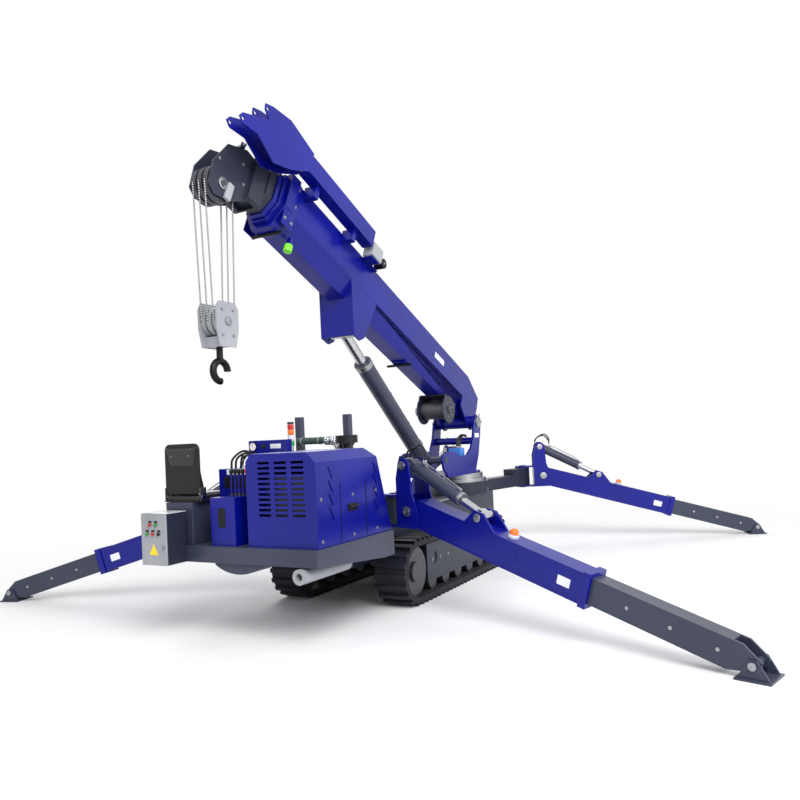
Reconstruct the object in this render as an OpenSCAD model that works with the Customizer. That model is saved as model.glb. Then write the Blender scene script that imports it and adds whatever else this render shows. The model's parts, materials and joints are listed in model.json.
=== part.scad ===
// Spider crane: a tracked carrier with four folding legs, a slewing column
// and a telescopic boom over the operator's end. Millimetres, +X to the
// column end, +Y to the operator's seat, +Z up, ground at z = 0.

/* [Carrier] */
// Distance of the slewing axis ahead of the machine's middle
slew_x = 924; // [909:1:939]
// Distance of the tracks' middle behind the machine's middle
track_back = 683; // [668:1:698]
// Length of a track over its lugs
track_len = 2600; // [2570:10:2640]
// Height of a track over its lugs
track_h = 620; // [600:5:630]
// Width of a track
track_w = 320; // [280:5:330]
// Distance of a track's middle from the machine's middle plane
track_y = 610; // [600:1:612]
// Height of a track lug
lug_h = 24; // [16:1:30]
// Thickness of a track's rubber belt
belt_t = 46; // [36:1:56]
// Height of the rear deck's top face
deck_z = 780; // [775:1:800]
// Width of the rear deck
deck_w = 1600; // [1590:2:1640]
// Distance of the deck's rear edge behind the machine's middle
deck_back = 3331; // [3311:1:3351]
// Length of the rear deck
deck_len = 1150; // [1120:1:1160]

/* [Legs] */
// Height of a leg's raise pin
raise_z = 930; // [925:1:940]
// Length of a leg between its raise pin and its foot pin, drawn out as it stands
leg_len = 2985; // [2960:5:3010]
// Distance of the raise pin outside the king pin
raise_off = 280; // [270:1:290]
// Height of the foot pin over the ground
foot_z = 95; // [92:1:100]
// Height of the outer leg beam
leg_outer_h = 240; // [236:2:250]
// Width of the outer leg beam
leg_outer_w = 200; // [190:2:206]
// Height of the inner leg beam
leg_inner_h = 200; // [190:2:206]
// Width of the inner leg beam
leg_inner_w = 156; // [140:2:160]
// Wall of the leg beams
leg_wall = 10; // [8:1:12]
// Thickness of the swing brackets' plates
bracket_t = 20; // [16:1:24]
// Radius of a leg cylinder's barrel
leg_cyl_r = 58; // [50:1:62]
// Radius of a leg cylinder's rod
leg_rod_r = 34; // [28:1:38]

/* [Column] */
// Width over the column's side plates
column_w = 600; // [590:2:620]
// Thickness of the column's side plates
column_t = 28; // [20:1:32]
// Height of the column's base plate
column_z = 1070; // [1066:1:1074]
// Height of the boom pivot
pivot_z = 1720; // [1710:1:1730]
// Distance of the boom pivot ahead of the slewing axis
pivot_fwd = 60; // [50:1:70]
// Radius of the boom pivot pin
pivot_r = 45; // [40:1:50]

/* [Boom] */
// Angle of the boom over level as it stands
boom_rest = 24; // [22:0.5:26]
// Width of the boom's base section
boom_w = 400; // [390:2:410]
// Top of the base section over the pivot line
boom_top = 540; // [530:2:550]
// Shoulder of the base section, where its lower bevel starts
boom_shoulder = 225; // [215:1:235]
// Bottom of the base section over the pivot line
boom_low = 50; // [44:1:56]
// Half width of the base section's flat bottom
boom_foot = 95; // [90:1:105]
// Wall of the boom sections
boom_wall = 10; // [8:1:12]
// Running gap between two boom sections, all round
boom_gap = 8; // [6:0.5:10]
// Distance from the pivot to the base section's head collar
boom_base_len = 4200; // [4150:5:4250]
// Reach of each inner section out of the one around it as it stands
section_out = 50; // [40:1:60]
// Radius of the rope sheaves in the head
sheave_r = 150; // [142:1:160]

/* [Hoist] */
// Drop from the head sheaves' axis to the hook block's axis
block_drop = 1090; // [1060:5:1120]
// Radius of the winch drum
drum_r = 120; // [110:1:130]

/* [Operator's end] */
// Width of the engine hood
hood_w = 680; // [670:1:690]
// Height of the engine hood over the deck
hood_h = 736; // [724:2:750]
// Thickness of sheet panels
sheet_t = 8; // [6:1:10]

/* [Hidden] */
$fn = 48;
eps = 0.5;
slip = 5;

// Colours
BLUE = [0.05, 0.08, 0.55];
SLATE = [0.22, 0.25, 0.32];
BLACK = [0.05, 0.05, 0.06];
STEEL = [0.72, 0.73, 0.75];
GREY = [0.55, 0.57, 0.58];

// The four legs. Columns: name, king pin x, king pin y, heading of the leg
// from +X as it stands
rear_king_x = -1906;
front_king_x = 2146;
rear_king_y = 672;
front_king_y = 450;
rear_heading = 105.6;
front_heading = 66.3;
LEGS = [["rr", rear_king_x, -rear_king_y, -rear_heading],
    ["rl", rear_king_x, rear_king_y, rear_heading],
    ["fr", front_king_x, -front_king_y, -front_heading],
    ["fl", front_king_x, front_king_y, front_heading]];
LEG_X = 1;
LEG_Y = 2;
LEG_HEADING = 3;
leg_pitch = asin((raise_z - foot_z) / leg_len);

// A box by its corners
module slab(x0, x1, y0, y1, z0, z1) {
    translate([x0, y0, z0]) cube([x1 - x0, y1 - y0, z1 - z0]);
}

// A cylinder along Y, middle at y = 0
module bar_y(x, z, r, w) {
    translate([x, 0, z]) rotate([90, 0, 0]) cylinder(r = r, h = w, center = true);
}

// A cylinder along X from x0 to x1
module bar_x(x0, x1, y, z, r) {
    translate([x0, y, z]) rotate([0, 90, 0]) cylinder(r = r, h = x1 - x0);
}

// A plate in the XZ plane between y0 and y1, from the shape given as a child
module plate_y(y0, y1) {
    translate([0, y1, 0]) rotate([90, 0, 0]) linear_extrude(y1 - y0) children();
}

// A plate in the YZ plane between x0 and x1, from a shape drawn in (y, z)
module plate_x(x0, x1) {
    translate([x0, 0, 0]) rotate([90, 0, 90]) linear_extrude(x1 - x0) children();
}

// The same child on both sides of the middle plane
module both_sides() {
    children();
    mirror([0, 1, 0]) children();
}

// Tracks
lug_w = 44;
lug_pitch_count = 22;
track_r = track_h / 2;
track_run = track_len - track_h;
belt_r = track_r - lug_h;
curve_lugs = 9;
wheel_r = belt_r - belt_t;
wheel_clear = 0.3;
seat_gap = 0.3;

module stadium(r) {
    union() {
        for (s = [-1, 1]) translate([s * track_run / 2, 0]) circle(r = r, $fn = 64);
        square([track_run, 2 * r], center = true);
    }
}

module track_outline() {
    difference() {
        union() {
            stadium(belt_r);
            for (i = [0 : lug_pitch_count - 1])
                translate([-track_run / 2 + (i + 0.5) * track_run / lug_pitch_count, 0])
                    square([lug_w, track_h], center = true);
            for (s = [0, 180])
                rotate(s) for (k = [0 : curve_lugs - 1])
                    translate([track_run / 2, 0])
                        rotate(-90 + (k + 0.5) * 180 / curve_lugs)
                            translate([track_r / 2, 0]) square([track_r, lug_w], center = true);
        }
        stadium(wheel_r);
    }
}

module tracks() {
    color(BLACK) both_sides() translate([-track_back, track_y - track_w / 2, track_r])
        plate_y(0, track_w) track_outline();
}

// Track frames: a box beam inside each loop, an outer guard plate with a
// D-shaped hand hole, and the arms that join the beams to the chassis
frame_h = 300;
frame_in = track_y - track_w / 2 + 40;
frame_out = track_y + track_w / 2 - 70;
guard_t = 12;
guard_len = 1440;
track_arm_w = 260;
chassis_y = 360;

module hand_hole() {
    difference() {
        circle(r = 60);
        translate([-70, -60]) square([70, 120]);
    }
}

module track_frames() {
    color(SLATE) both_sides() translate([-track_back, 0, 0]) {
        slab(-track_run / 2 + wheel_r + 40, track_run / 2 - wheel_r - 40,
            frame_in, frame_out, track_r - wheel_r + 2 * road_roller_r + 10,
            track_r + wheel_r - 30);
        for (a = [0, 180])
            translate([0, frame_in, track_r]) rotate([0, a, 0])
                slab(track_run / 2 - wheel_r - 60, track_run / 2 + 110, 0, hub_arm_t, -70, 70);
        plate_y(frame_out, frame_out + guard_t)
            difference() {
                translate([-guard_len / 2, track_r - frame_h / 2])
                    square([guard_len, wheel_r + frame_h / 2 - 24]);
                translate([-guard_len / 2 + 160, track_r + 60]) hand_hole();
                translate([guard_len / 2 - 160, track_r + 60]) mirror([1, 0]) hand_hole();
            }
        for (x = [-560, 560])
            slab(x - track_arm_w / 2, x + track_arm_w / 2, chassis_y, frame_in,
                track_r - 40, track_r + wheel_r - 40);
    }
}

// Sprockets, idlers and rollers inside the tracks
sprocket_r = wheel_r - wheel_clear;
road_roller_r = 80;
roller_count = 5;

hub_arm_t = 24;

// A wheel or roller on an axis along Y at x, between y0 and y1
module roller(x, r, y0, y1) {
    translate([x, y1, track_r]) rotate([90, 0, 0]) cylinder(r = r, h = y1 - y0);
}

module track_wheels() {
    color(SLATE) both_sides() translate([-track_back, 0, 0]) {
        for (s = [-1, 1]) {
            roller(s * track_run / 2, sprocket_r, track_y - 80, track_y + 100);
            roller(s * track_run / 2, 95, frame_in + hub_arm_t + seat_gap, track_y + 130);
        }
        for (i = [0 : roller_count - 1])
            translate([(i - (roller_count - 1) / 2) * 300, 0, -wheel_r + road_roller_r + wheel_clear])
                roller(0, road_roller_r, frame_in + 45, frame_out - seat_gap);
    }
}

// Chassis: a long box between the tracks, the ring pedestal, and the arms
// that carry the four king pins
chassis_z0 = 420;
chassis_z1 = 812;
chassis_rear = -deck_back + deck_len + 0.3;
chassis_front = 1229;
pedestal_r = 400;
king_r = 72;
king_z0 = 800;
king_z1 = 1050;
king_arm_w = 190;
king_lip = 6;
ring_z0 = 960;

module king_arm(x0, y0, x1, y1) {
    a = atan2(y1 - y0, x1 - x0);
    d = norm([x1 - x0, y1 - y0]);
    translate([x0, y0, king_z0 + king_lip]) rotate([0, 0, a])
        translate([0, -king_arm_w / 2, 0])
            cube([d, king_arm_w, king_z1 - king_z0 - 2 * king_lip]);
}

module chassis_frame() {
    color(SLATE) difference() {
        union() {
            slab(chassis_rear, chassis_front, -chassis_y, chassis_y, chassis_z0, chassis_z1);
            translate([slew_x, 0, chassis_z1 - eps])
                cylinder(r = pedestal_r, h = ring_z0 - chassis_z1 + eps);
            both_sides() king_arm(slew_x + 260, 230, front_king_x, front_king_y);
            slab(rear_king_x - king_arm_w / 2, rear_king_x + king_arm_w / 2,
                -rear_king_y, rear_king_y, king_z0 + king_lip, king_z1 - king_lip);
            for (leg = LEGS) translate([leg[LEG_X], leg[LEG_Y], king_z0])
                cylinder(r = king_r + 24, h = king_z1 - king_z0);
        }
        translate([slew_x, 0, ring_z0]) cylinder(r = 960, h = 200);
        for (leg = LEGS) translate([leg[LEG_X], leg[LEG_Y], king_z0 - 1])
            cylinder(r = king_pin_r + pin_clear, h = king_z1 - king_z0 + 2);
    }
}

// Slewing ring
ring_r = 330;

module slew_ring() {
    color(STEEL) translate([slew_x, 0, ring_z0]) difference() {
        union() {
            cylinder(r = ring_r, h = column_z - ring_z0, $fn = 96);
            cylinder(r = ring_r + 40, h = 45, $fn = 96);
        }
        translate([0, 0, -1]) cylinder(r = ring_r - 110, h = 200);
    }
}

// Rear deck: a plate with deep skirts, deeper on its front half
deck_t = 12;
skirt_rear = 130;
skirt_front = 215;
deck_x0 = -deck_back;
deck_x1 = -deck_back + deck_len;

module skirt_outline() {
    polygon([[deck_x0, deck_z], [deck_x1, deck_z], [deck_x1, deck_z - skirt_front],
        [deck_x1 - 160, deck_z - skirt_front], [deck_x0, deck_z - skirt_rear]]);
}

module rear_deck() {
    color(SLATE) {
        slab(deck_x0, deck_x1, -deck_w / 2, deck_w / 2, deck_z - deck_t, deck_z);
        for (y = [-deck_w / 2, deck_w / 2 - deck_t])
            plate_y(y, y + deck_t) skirt_outline();
        slab(deck_x0, deck_x0 + deck_t, -deck_w / 2, deck_w / 2, deck_z - skirt_rear, deck_z);
        for (y = [-chassis_y + 60, chassis_y - 120])
            slab(deck_x0 + 40, chassis_rear, y, y + 60, deck_z - skirt_rear, deck_z - deck_t + eps);
    }
}

// Engine hood: a hollow sheet cover, louvred behind, slotted on its side
hood_y0 = -780;
hood_x0 = deck_x0 + 55;
hood_x1 = deck_x1;
hood_slope = 200;
hood_cut = 80;
louvre_rows = 11;
louvre_cols = 3;
air_x = -2256;
air_y = -400;
air_top = 1560;
air_stem_r = 42;

module hood_side(i) {
    polygon([[hood_x0 + i, deck_z - i], [hood_x1 - i, deck_z - i],
        [hood_x1 - hood_slope - i, deck_z + hood_h - hood_cut - i],
        [hood_x1 - hood_slope - hood_cut - i, deck_z + hood_h - i],
        [hood_x0 + i, deck_z + hood_h - i]]);
}

module hood_rear(i) {
    polygon([[hood_y0 + i, deck_z - i], [hood_y0 + i, deck_z + hood_h - hood_cut - i],
        [hood_y0 + hood_cut + i, deck_z + hood_h - i],
        [hood_y0 + hood_w - 50 - i, deck_z + hood_h - i],
        [hood_y0 + hood_w - i, deck_z + hood_h - 60 - i], [hood_y0 + hood_w - i, deck_z - i]]);
}

module hood_form(i) {
    intersection() {
        plate_y(hood_y0 - 1, hood_y0 + hood_w + 1) hood_side(i);
        plate_x(hood_x0 - 1, hood_x1 + 1) hood_rear(i);
    }
}

module engine_hood() {
    color(BLUE) difference() {
        hood_form(0);
        hood_form(sheet_t);
        for (c = [0 : louvre_cols - 1]) for (r = [0 : louvre_rows - 1])
            slab(hood_x0 - 5, hood_x0 + 20, hood_y0 + 110 + c * 165, hood_y0 + 230 + c * 165,
                deck_z + 242 + r * 41, deck_z + 262 + r * 41);
        translate([air_x, air_y, deck_z]) cylinder(r = air_stem_r + 0.3, h = hood_h);
        for (c = [0, 1]) for (r = [0 : 3])
            translate([hood_x0 + 190 + c * 660, hood_y0, deck_z + 250 + r * 105])
                rotate([0, -28, 0]) cube([14, 30, 110], center = true);
    }
}

// Engine, one plain block inside the hood
module engine_block() {
    color(GREY) slab(hood_x0 + 120, hood_x1 - 420, hood_y0 + 120, hood_y0 + hood_w - 100,
        deck_z + 0.3, deck_z + 560);
}

// Fuel tank under the deck, with a rounded belly
module fuel_tank() {
    color(GREY) intersection() {
        slab(deck_x0 + 30, deck_x0 + 480, -240, 240, 500, deck_z - deck_t - 0.3);
        bar_x(deck_x0 + 20, deck_x0 + 490, 0, 1010, 450);
    }
}

// Silencer under the deck's right edge, on two straps
muffler_r = 60;
muffler_y = -640;
muffler_z = 580;

module muffler() {
    color(STEEL) difference() {
        union() {
            bar_x(deck_x0 - 20, deck_x0 + 620, muffler_y, muffler_z, muffler_r);
            for (x = [deck_x0 + 90, deck_x0 + 500])
                slab(x, x + 30, muffler_y - 15, muffler_y + 15, muffler_z,
                    deck_z - deck_t - 0.3);
        }
        bar_x(deck_x0 - 21, deck_x0 + 120, muffler_y, muffler_z, 30);
    }
}

// Posts that steady the lowered boom, with their cross tube
post_x = -2042;
post_w = 64;
post_y = 277;
post_top = 1825;

module boom_rest() {
    color(SLATE) {
        for (y = [-post_y - post_w / 2, post_y - post_w / 2])
            slab(post_x - post_w / 2, post_x + post_w / 2, y, y + post_w,
                chassis_z1 + 0.3, post_top);
        slab(post_x - 30, post_x + 30, -post_y, post_y, 1360, 1420);
    }
}

// Air pre-cleaner: a stem out of the hood with its bowl on top
module air_intake() {
    color(BLACK) {
        translate([air_x, air_y, deck_z + 0.3]) cylinder(r = air_stem_r, h = air_top - deck_z);
        translate([air_x, air_y, air_top]) cylinder(r = 100, h = 70);
    }
}

// Signal tower beside the console
module signal_light() {
    color(STEEL) translate([panel_x1 + 30, -60, deck_z + 0.3]) cylinder(r = 22, h = 990);
}

// Operator's seat: cushion and back, one soft solid
seat_y = 640;
seat_x = -3281;
module seat() {
    color(BLACK) {
        slab(seat_x + 20, seat_x + 440, seat_y - 210, seat_y + 210, 1130, 1200);
        translate([seat_x + 30, 0, 1150]) rotate([0, -8, 0])
            slab(-30, 50, seat_y - 205, seat_y + 205, 0, 450);
    }
}

module seat_base() {
    color(SLATE) slab(seat_x, seat_x + 430, seat_y - 150, seat_y + 150, deck_z + 0.3, 1129.7);
}

// Lever console: the lower box, the riser behind it and the levers
console_y0 = 0;
console_y1 = 290;
panel_x1 = deck_x0 + 680;
module lever_console() {
    color(BLUE) {
        slab(deck_x0 + 55, deck_x0 + 320, console_y0 + 30, console_y1, deck_z + 0.3, 1170);
        slab(deck_x0 + 320 - eps, deck_x0 + 560, console_y0 - 90, console_y1 + 140,
            deck_z + 0.3, 1390);
    }
    color(BLACK) for (i = [0 : 4])
        translate([deck_x0 + 260, console_y0 + 70 + i * 42, 1169]) cylinder(r = 8, h = 190);
}

module instrument_panel() {
    color(BLUE) slab(panel_x1 - 80, panel_x1, -90, 330, deck_z + 0.3, 1620);
}

// Electric cabinet on the deck's rear left corner, with a rain hood
cab_x0 = deck_x0 - 200;
cab_y0 = 520;
cab_y1 = 800;
cab_z0 = 650;
cab_z1 = 1065;
module cabinet_box() {
    color(STEEL) difference() {
        slab(cab_x0, deck_x0 - 0.3, cab_y0, cab_y1, cab_z0, cab_z1);
        slab(cab_x0 - 1, deck_x0 - 10, cab_y0 + 8, cab_y1 - 8, cab_z0 + 8, cab_z1 - 8);
    }
}

module cabinet_door() {
    color(STEEL) slab(cab_x0 - 14, cab_x0 - seat_gap, cab_y0, cab_y1, cab_z0, cab_z1);
}

// Steel pipes on the chassis in front of the hood
module hydraulic_pipes() {
    color(STEEL) for (i = [0 : 7])
        bar_x(-1551, 299, -330 + i * 30, chassis_z1 + 12.3, 12);
}

// Frame of the slewing parts: origin on the slewing axis at the ground
module slewing() {
    translate([slew_x, 0, 0]) children();
}

// Column: base plate, two side plates, cross tube and the two pins' bosses
luff_base_x = -940;
luff_base_z = 1280;
luff_pin_r = 40;
pin_clear = 0.05;
king_pin_r = 46;

module column_side() {
    difference() {
        union() {
            polygon([[-880, column_z], [-90, column_z], [40, 1300], [120, 1560],
                [150, 1700], [100, 1800], [0, 1810], [-60, 1700], [-110, 1520], [-190, 1390],
                [-330, 1310], [-520, 1300], [-680, 1370], [-900, 1372], [-1000, 1345],
                [-1030, 1280], [-1000, 1180]]);
        }
        translate([pivot_fwd, pivot_z]) circle(r = pivot_r + pin_clear);
        translate([luff_base_x, luff_base_z]) circle(r = luff_pin_r + pin_clear);
    }
}

module column() {
    color(BLUE) slewing() {
        difference() {
            union() {
                both_sides() plate_y(column_w / 2 - column_t, column_w / 2) column_side();
                slab(-880, -90, -column_w / 2, column_w / 2, column_z, column_z + 26);
                translate([0, 0, column_z]) cylinder(r = 300, h = 26);
                bar_y(-20, 1480, 45, column_w - column_t);
            }
        }
    }
}

module valve_block() {
    color([0.2, 0.45, 0.85]) slewing()
        slab(-420, -300, -column_w / 2 + column_t + 20, -column_w / 2 + column_t + 180,
            column_z + 26.3, 1400);
}

// Frame of the boom: origin at its pivot, x along the boom, z out of its back
module boom_frame() {
    translate([slew_x + pivot_fwd, 0, pivot_z]) rotate([0, 0, 180])
        rotate([0, -boom_rest, 0]) children();
}

// Section outline of the boom in (y, z), shrunk by i on every side
module boom_outline(i) {
    polygon([[-boom_w / 2 + i, boom_top - i], [boom_w / 2 - i, boom_top - i],
        [boom_w / 2 - i, boom_shoulder], [boom_foot - i * 0.6, boom_low + i],
        [-boom_foot + i * 0.6, boom_low + i], [-boom_w / 2 + i, boom_shoulder]]);
}

// The hollow of a boom tube whose outer outline is shrunk by i: narrower at
// its head, where wear pads carry the next section
module boom_hollow(i, x0, x1) {
    plate_x(x0, x1 - pad_len) boom_outline(i + boom_wall);
    plate_x(x0, x1 + 1) boom_outline(i + section_step - seat_gap);
}

// A boom tube: outer outline shrunk by i, from x0 to x1
module boom_tube(i, x0, x1) {
    difference() {
        plate_x(x0, x1) boom_outline(i);
        boom_hollow(i, x0 - 1, x1);
    }
}

section_step = boom_wall + boom_gap;
pad_len = 110;
luff_eye_x = 2750;
luff_eye_z = -200;
luff_eye_r = 50;
tower_t = 28;
tower_gap = boom_w - 2 * tower_t;
root_back = 130;
root_t = 30;
plate_in = 2;

// Side outline of the base section, its root cut back over the pivot
module root_side() {
    polygon([[-root_back, boom_low - 1], [-root_back, 400], [250, boom_top + 1],
        [boom_base_len + 1, boom_top + 1], [boom_base_len + 1, boom_low - 1]]);
}

// Root plate, down from the tube's side round the pivot
module root_plate() {
    polygon([[-root_back + 4, boom_shoulder + 20], [-root_back + 4, 40], [-90, -60],
        [-50, -90], [50, -90], [110, -60], [330, boom_low + 30], [330, boom_shoulder + 20]]);
}

// Side plate of the luffing cylinder's bracket
module tower_side() {
    polygon([[luff_eye_x - 190, boom_shoulder + 20], [luff_eye_x - 90, luff_eye_z - 30],
        [luff_eye_x - 30, luff_eye_z - 90], [luff_eye_x + 90, luff_eye_z - 90],
        [luff_eye_x + 330, boom_shoulder + 20]]);
}

// Cross plate of the bracket on its head side
module tower_face() {
    polygon([[luff_eye_x + 84, luff_eye_z - 84], [luff_eye_x + 316, boom_shoulder],
        [luff_eye_x + 300, boom_shoulder], [luff_eye_x + 68, luff_eye_z - 84]]);
}

// Base section with its root plates, pivot pin and cylinder bracket
module boom_base() {
    color(BLUE) boom_frame() {
        difference() {
            union() {
                intersection() {
                    plate_x(-root_back - 1, boom_base_len) boom_outline(0);
                    plate_y(-boom_w, boom_w) root_side();
                }
                plate_x(boom_base_len - 120, boom_base_len) boom_outline(-22);
                both_sides() plate_y(tower_gap / 2, boom_w / 2 - plate_in) tower_side();
                plate_y(-tower_gap / 2 - 1, tower_gap / 2 + 1) tower_face();
                both_sides() plate_y(boom_w / 2 - root_t, boom_w / 2 - plate_in) root_plate();
            }
            boom_hollow(0, 200, boom_base_len);
        }
        bar_y(0, 0, pivot_r, column_w + 20);
        bar_y(0, 0, 80, column_w - 2 * column_t - 2 * slip);
    }
}

// Luffing cylinder, from the column's lower pin to the boom's bracket
luff_angle = atan2(pivot_z + luff_eye_x * sin(boom_rest) + luff_eye_z * cos(boom_rest)
    - luff_base_z,
    -(pivot_fwd - luff_eye_x * cos(boom_rest) + luff_eye_z * sin(boom_rest) - luff_base_x));
luff_len = norm([pivot_fwd - luff_eye_x * cos(boom_rest) + luff_eye_z * sin(boom_rest)
    - luff_base_x,
    pivot_z + luff_eye_x * sin(boom_rest) + luff_eye_z * cos(boom_rest) - luff_base_z]);
luff_barrel_r = 92;
luff_rod_r = 55;
luff_barrel_len = 1680;
luff_piston = 620;

module luff_frame() {
    translate([slew_x + luff_base_x, 0, luff_base_z]) rotate([0, 0, 180])
        rotate([0, -luff_angle, 0]) children();
}

module luff_barrel() {
    color(SLATE) luff_frame() difference() {
        union() {
            bar_x(60, luff_barrel_len, 0, 0, luff_barrel_r);
            bar_y(0, 0, 85, 150);
            slab(0, 80, -75, 75, -70, 70);
            bar_y(0, 0, luff_pin_r, column_w + 10);
        }
        bar_x(200, luff_barrel_len + 1, 0, 0, luff_rod_r + 1);
    }
}

module luff_rod() {
    color(STEEL) luff_frame() {
        bar_x(luff_piston, luff_len - 30, 0, 0, luff_rod_r);
        bar_y(luff_len, 0, luff_eye_r, tower_gap - 2 * slip - 10);
    }
}

// Winch under the boom's root: frame cheeks and drum
winch_x = 615;
winch_z = -95;
winch_w = 330;

module winch_frame() {
    color(SLATE) boom_frame() {
        both_sides() plate_y(winch_w / 2, winch_w / 2 + 16) difference() {
            union() {
                translate([winch_x, winch_z]) circle(r = 170);
                translate([winch_x - 150, winch_z]) square([300, boom_low - 0.3 - winch_z]);
            }
            translate([winch_x, winch_z]) circle(r = 40 + pin_clear);
        }
        slab(winch_x - 150, winch_x + 150, -winch_w / 2 - 16, winch_w / 2 + 16,
            boom_low - 16.3, boom_low - 0.3);
    }
}

module winch_drum() {
    color(BLACK) boom_frame() {
        bar_y(winch_x, winch_z, drum_r - 8, winch_w - 2 * slip);
        bar_y(winch_x, winch_z, 40, winch_w + 60);
    }
}

// Fly jib stowed along the boom's right shoulder: a tube with a fork of two
// lug plates at the head end, on two arms from the boom's side
jib_x0 = 3060;
jib_x1 = 4300;
jib_y0 = boom_w / 2 + 50;
jib_y1 = jib_y0 + 120;
jib_z0 = 570;
jib_z1 = 745;
jib_t = 12;
jib_wall = 10;

module jib_lug() {
    difference() {
        polygon([[4180, 560], [4180, 755], [4540, 800], [4760, 735], [4850, 690], [4840, 640],
            [4770, 590], [5040, 410], [5060, 365], [5010, 330], [4840, 375], [4600, 290],
            [4400, 390]]);
        translate([5020, 370]) circle(r = 16);
        translate([4815, 665]) circle(r = 16);
    }
}

module fly_jib() {
    color(BLUE) boom_frame() {
        difference() {
            slab(jib_x0, jib_x1, jib_y0, jib_y1, jib_z0, jib_z1);
            slab(jib_x0 - 10, jib_x1 + 10, jib_y0 + jib_wall, jib_y1 - jib_wall,
                jib_z0 + jib_wall, jib_z1 - jib_wall);
        }
        for (y = [jib_y0 - jib_t + eps, jib_y1 - eps]) plate_y(y, y + jib_t) jib_lug();
        for (x = [jib_x0 + 240, jib_x1 - 360])
            slab(x, x + 60, boom_w / 2 + 0.3, jib_y0 + 80, 450, jib_z0 + eps);
    }
}

module boom_section(n) {
    i = n * section_step;
    color(BLUE) boom_frame() {
        boom_tube(i, 260 + n * 40, boom_base_len + n * section_out);
    }
}

module boom_section_2() {
    boom_section(1);
}

module boom_section_3() {
    boom_section(2);
}

// Last section with its head: cheek plates around the sheaves
head_x = 4800;
head_z = -10;
head_w = 210;
neck_w = 280;
neck_reach = 350;
neck_low = 60;
neck_high = 440;
// The rear falls pass through this slot when the boom is steep
rope_slot_len = 145;
rope_slot_w = 170;
rope_slot_h = 40;
head_t = 14;

module head_cheek() {
    difference() {
        polygon([[boom_base_len + 340, 20], [boom_base_len + 340, 440], [4660, 450],
            [4860, 340], [4950, 100], [4930, -100], [4850, -150], [4710, -110]]);
        translate([head_x, head_z]) circle(r = 30 + pin_clear);
    }
}

module boom_section_4() {
    boom_section(3);
    color(SLATE) boom_frame() {
        plate_x(boom_base_len + 3 * section_out - eps, boom_base_len + 3 * section_out + 40)
            boom_outline(3 * section_step - 4);
        both_sides() plate_y(head_w / 2 - head_t, head_w / 2) head_cheek();
        difference() {
            slab(boom_base_len + 3 * section_out + 39, boom_base_len + neck_reach,
                -neck_w / 2, neck_w / 2, neck_low, neck_high);
            slab(boom_base_len + neck_reach - rope_slot_len, boom_base_len + neck_reach + 1,
                -rope_slot_w / 2, rope_slot_w / 2, neck_low - 1, neck_low + rope_slot_h);
        }
        slab(4640, 4655, -head_w / 2, head_w / 2, 360, 445);
    }
}

// Head sheaves on their pin
module head_sheaves() {
    color(BLACK) boom_frame() {
        for (y = rope_ys)
            translate([0, y, 0]) bar_y(head_x, head_z, sheave_r, 44);
        bar_y(head_x, head_z, 30, head_w + 30);
    }
}

// Hook block hanging under the head
head_world_x = slew_x + pivot_fwd - head_x * cos(boom_rest) + head_z * sin(boom_rest);
head_world_z = pivot_z + head_x * sin(boom_rest) + head_z * cos(boom_rest);
block_z = head_world_z - block_drop;
rope_r = 6;
block_sheave_r = 112;
rope_ys = [-62, 0, 62];
block_gap = 168;
block_t = 14;
rope_lean = atan2(sheave_r - block_sheave_r, block_drop);
rope_len = norm([sheave_r - block_sheave_r, block_drop]);

module hoist_ropes() {
    color(GREY) translate([head_world_x, 0, block_z]) for (y = rope_ys)
        for (s = [-1, 1]) translate([s * (block_sheave_r + rope_r + 0.3), y, 0])
            rotate([0, s * rope_lean, 0]) cylinder(r = rope_r, h = rope_len, $fn = 16);
}

module hook_block() {
    color(STEEL) translate([head_world_x, 0, block_z]) {
        both_sides() plate_y(block_gap / 2, block_gap / 2 + block_t)
            polygon([[-90, 150], [90, 150], [125, 100], [125, -60], [90, -205], [-90, -205],
                [-125, -60], [-125, 100]]);
        bar_y(0, 0, 30, block_gap + 2 * block_t + 20);
        for (y = rope_ys) translate([0, y, 0]) bar_y(0, 0, block_sheave_r, 40);
        slab(-60, 60, -block_gap / 2 - 1, block_gap / 2 + 1, -200, -120);
    }
}

module hook() {
    color(BLACK) translate([head_world_x, 0, block_z - 300]) {
        translate([0, 0, -10]) cylinder(r = 26, h = 109.7);
        translate([0, 0, -90]) rotate([90, 0, 0]) rotate_extrude(angle = 270)
            translate([80, 0]) circle(r = 28);
    }
}

// Legs. Frame of leg k at its king pin, x out along the leg, ground at z = 0
module leg_frame(k) {
    translate([LEGS[k][LEG_X], LEGS[k][LEG_Y], 0]) rotate([0, 0, LEGS[k][LEG_HEADING]])
        children();
}

// Frame of a leg beam: origin on the raise pin, x down along the beam
module beam_frame(k) {
    leg_frame(k) translate([raise_off, 0, raise_z]) rotate([0, leg_pitch, 0]) children();
}

cyl_top_x = -33;
cyl_top_z = 404;
rod_eye_x = 742;
rod_eye_z = 192;
raise_pin_r = 35;
leg_eye_t = 22;
leg_eye_gap = leg_outer_w - 2 * leg_eye_t;
lug_r = 66;
bracket_gap = leg_outer_w + 2 * slip + 10;

module bracket_side() {
    difference() {
        union() {
            polygon([[150, 780], [380, 780], [400, 900], [330, 1100],
                [raise_off + cyl_top_x + lug_r, raise_z + cyl_top_z],
                [raise_off + cyl_top_x - lug_r, raise_z + cyl_top_z], [150, 1220]]);
            translate([raise_off + cyl_top_x, raise_z + cyl_top_z]) circle(r = lug_r);
        }
        translate([raise_off, raise_z]) circle(r = raise_pin_r + pin_clear);
        translate([raise_off + cyl_top_x, raise_z + cyl_top_z]) circle(r = 30 + pin_clear);
    }
}

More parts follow.
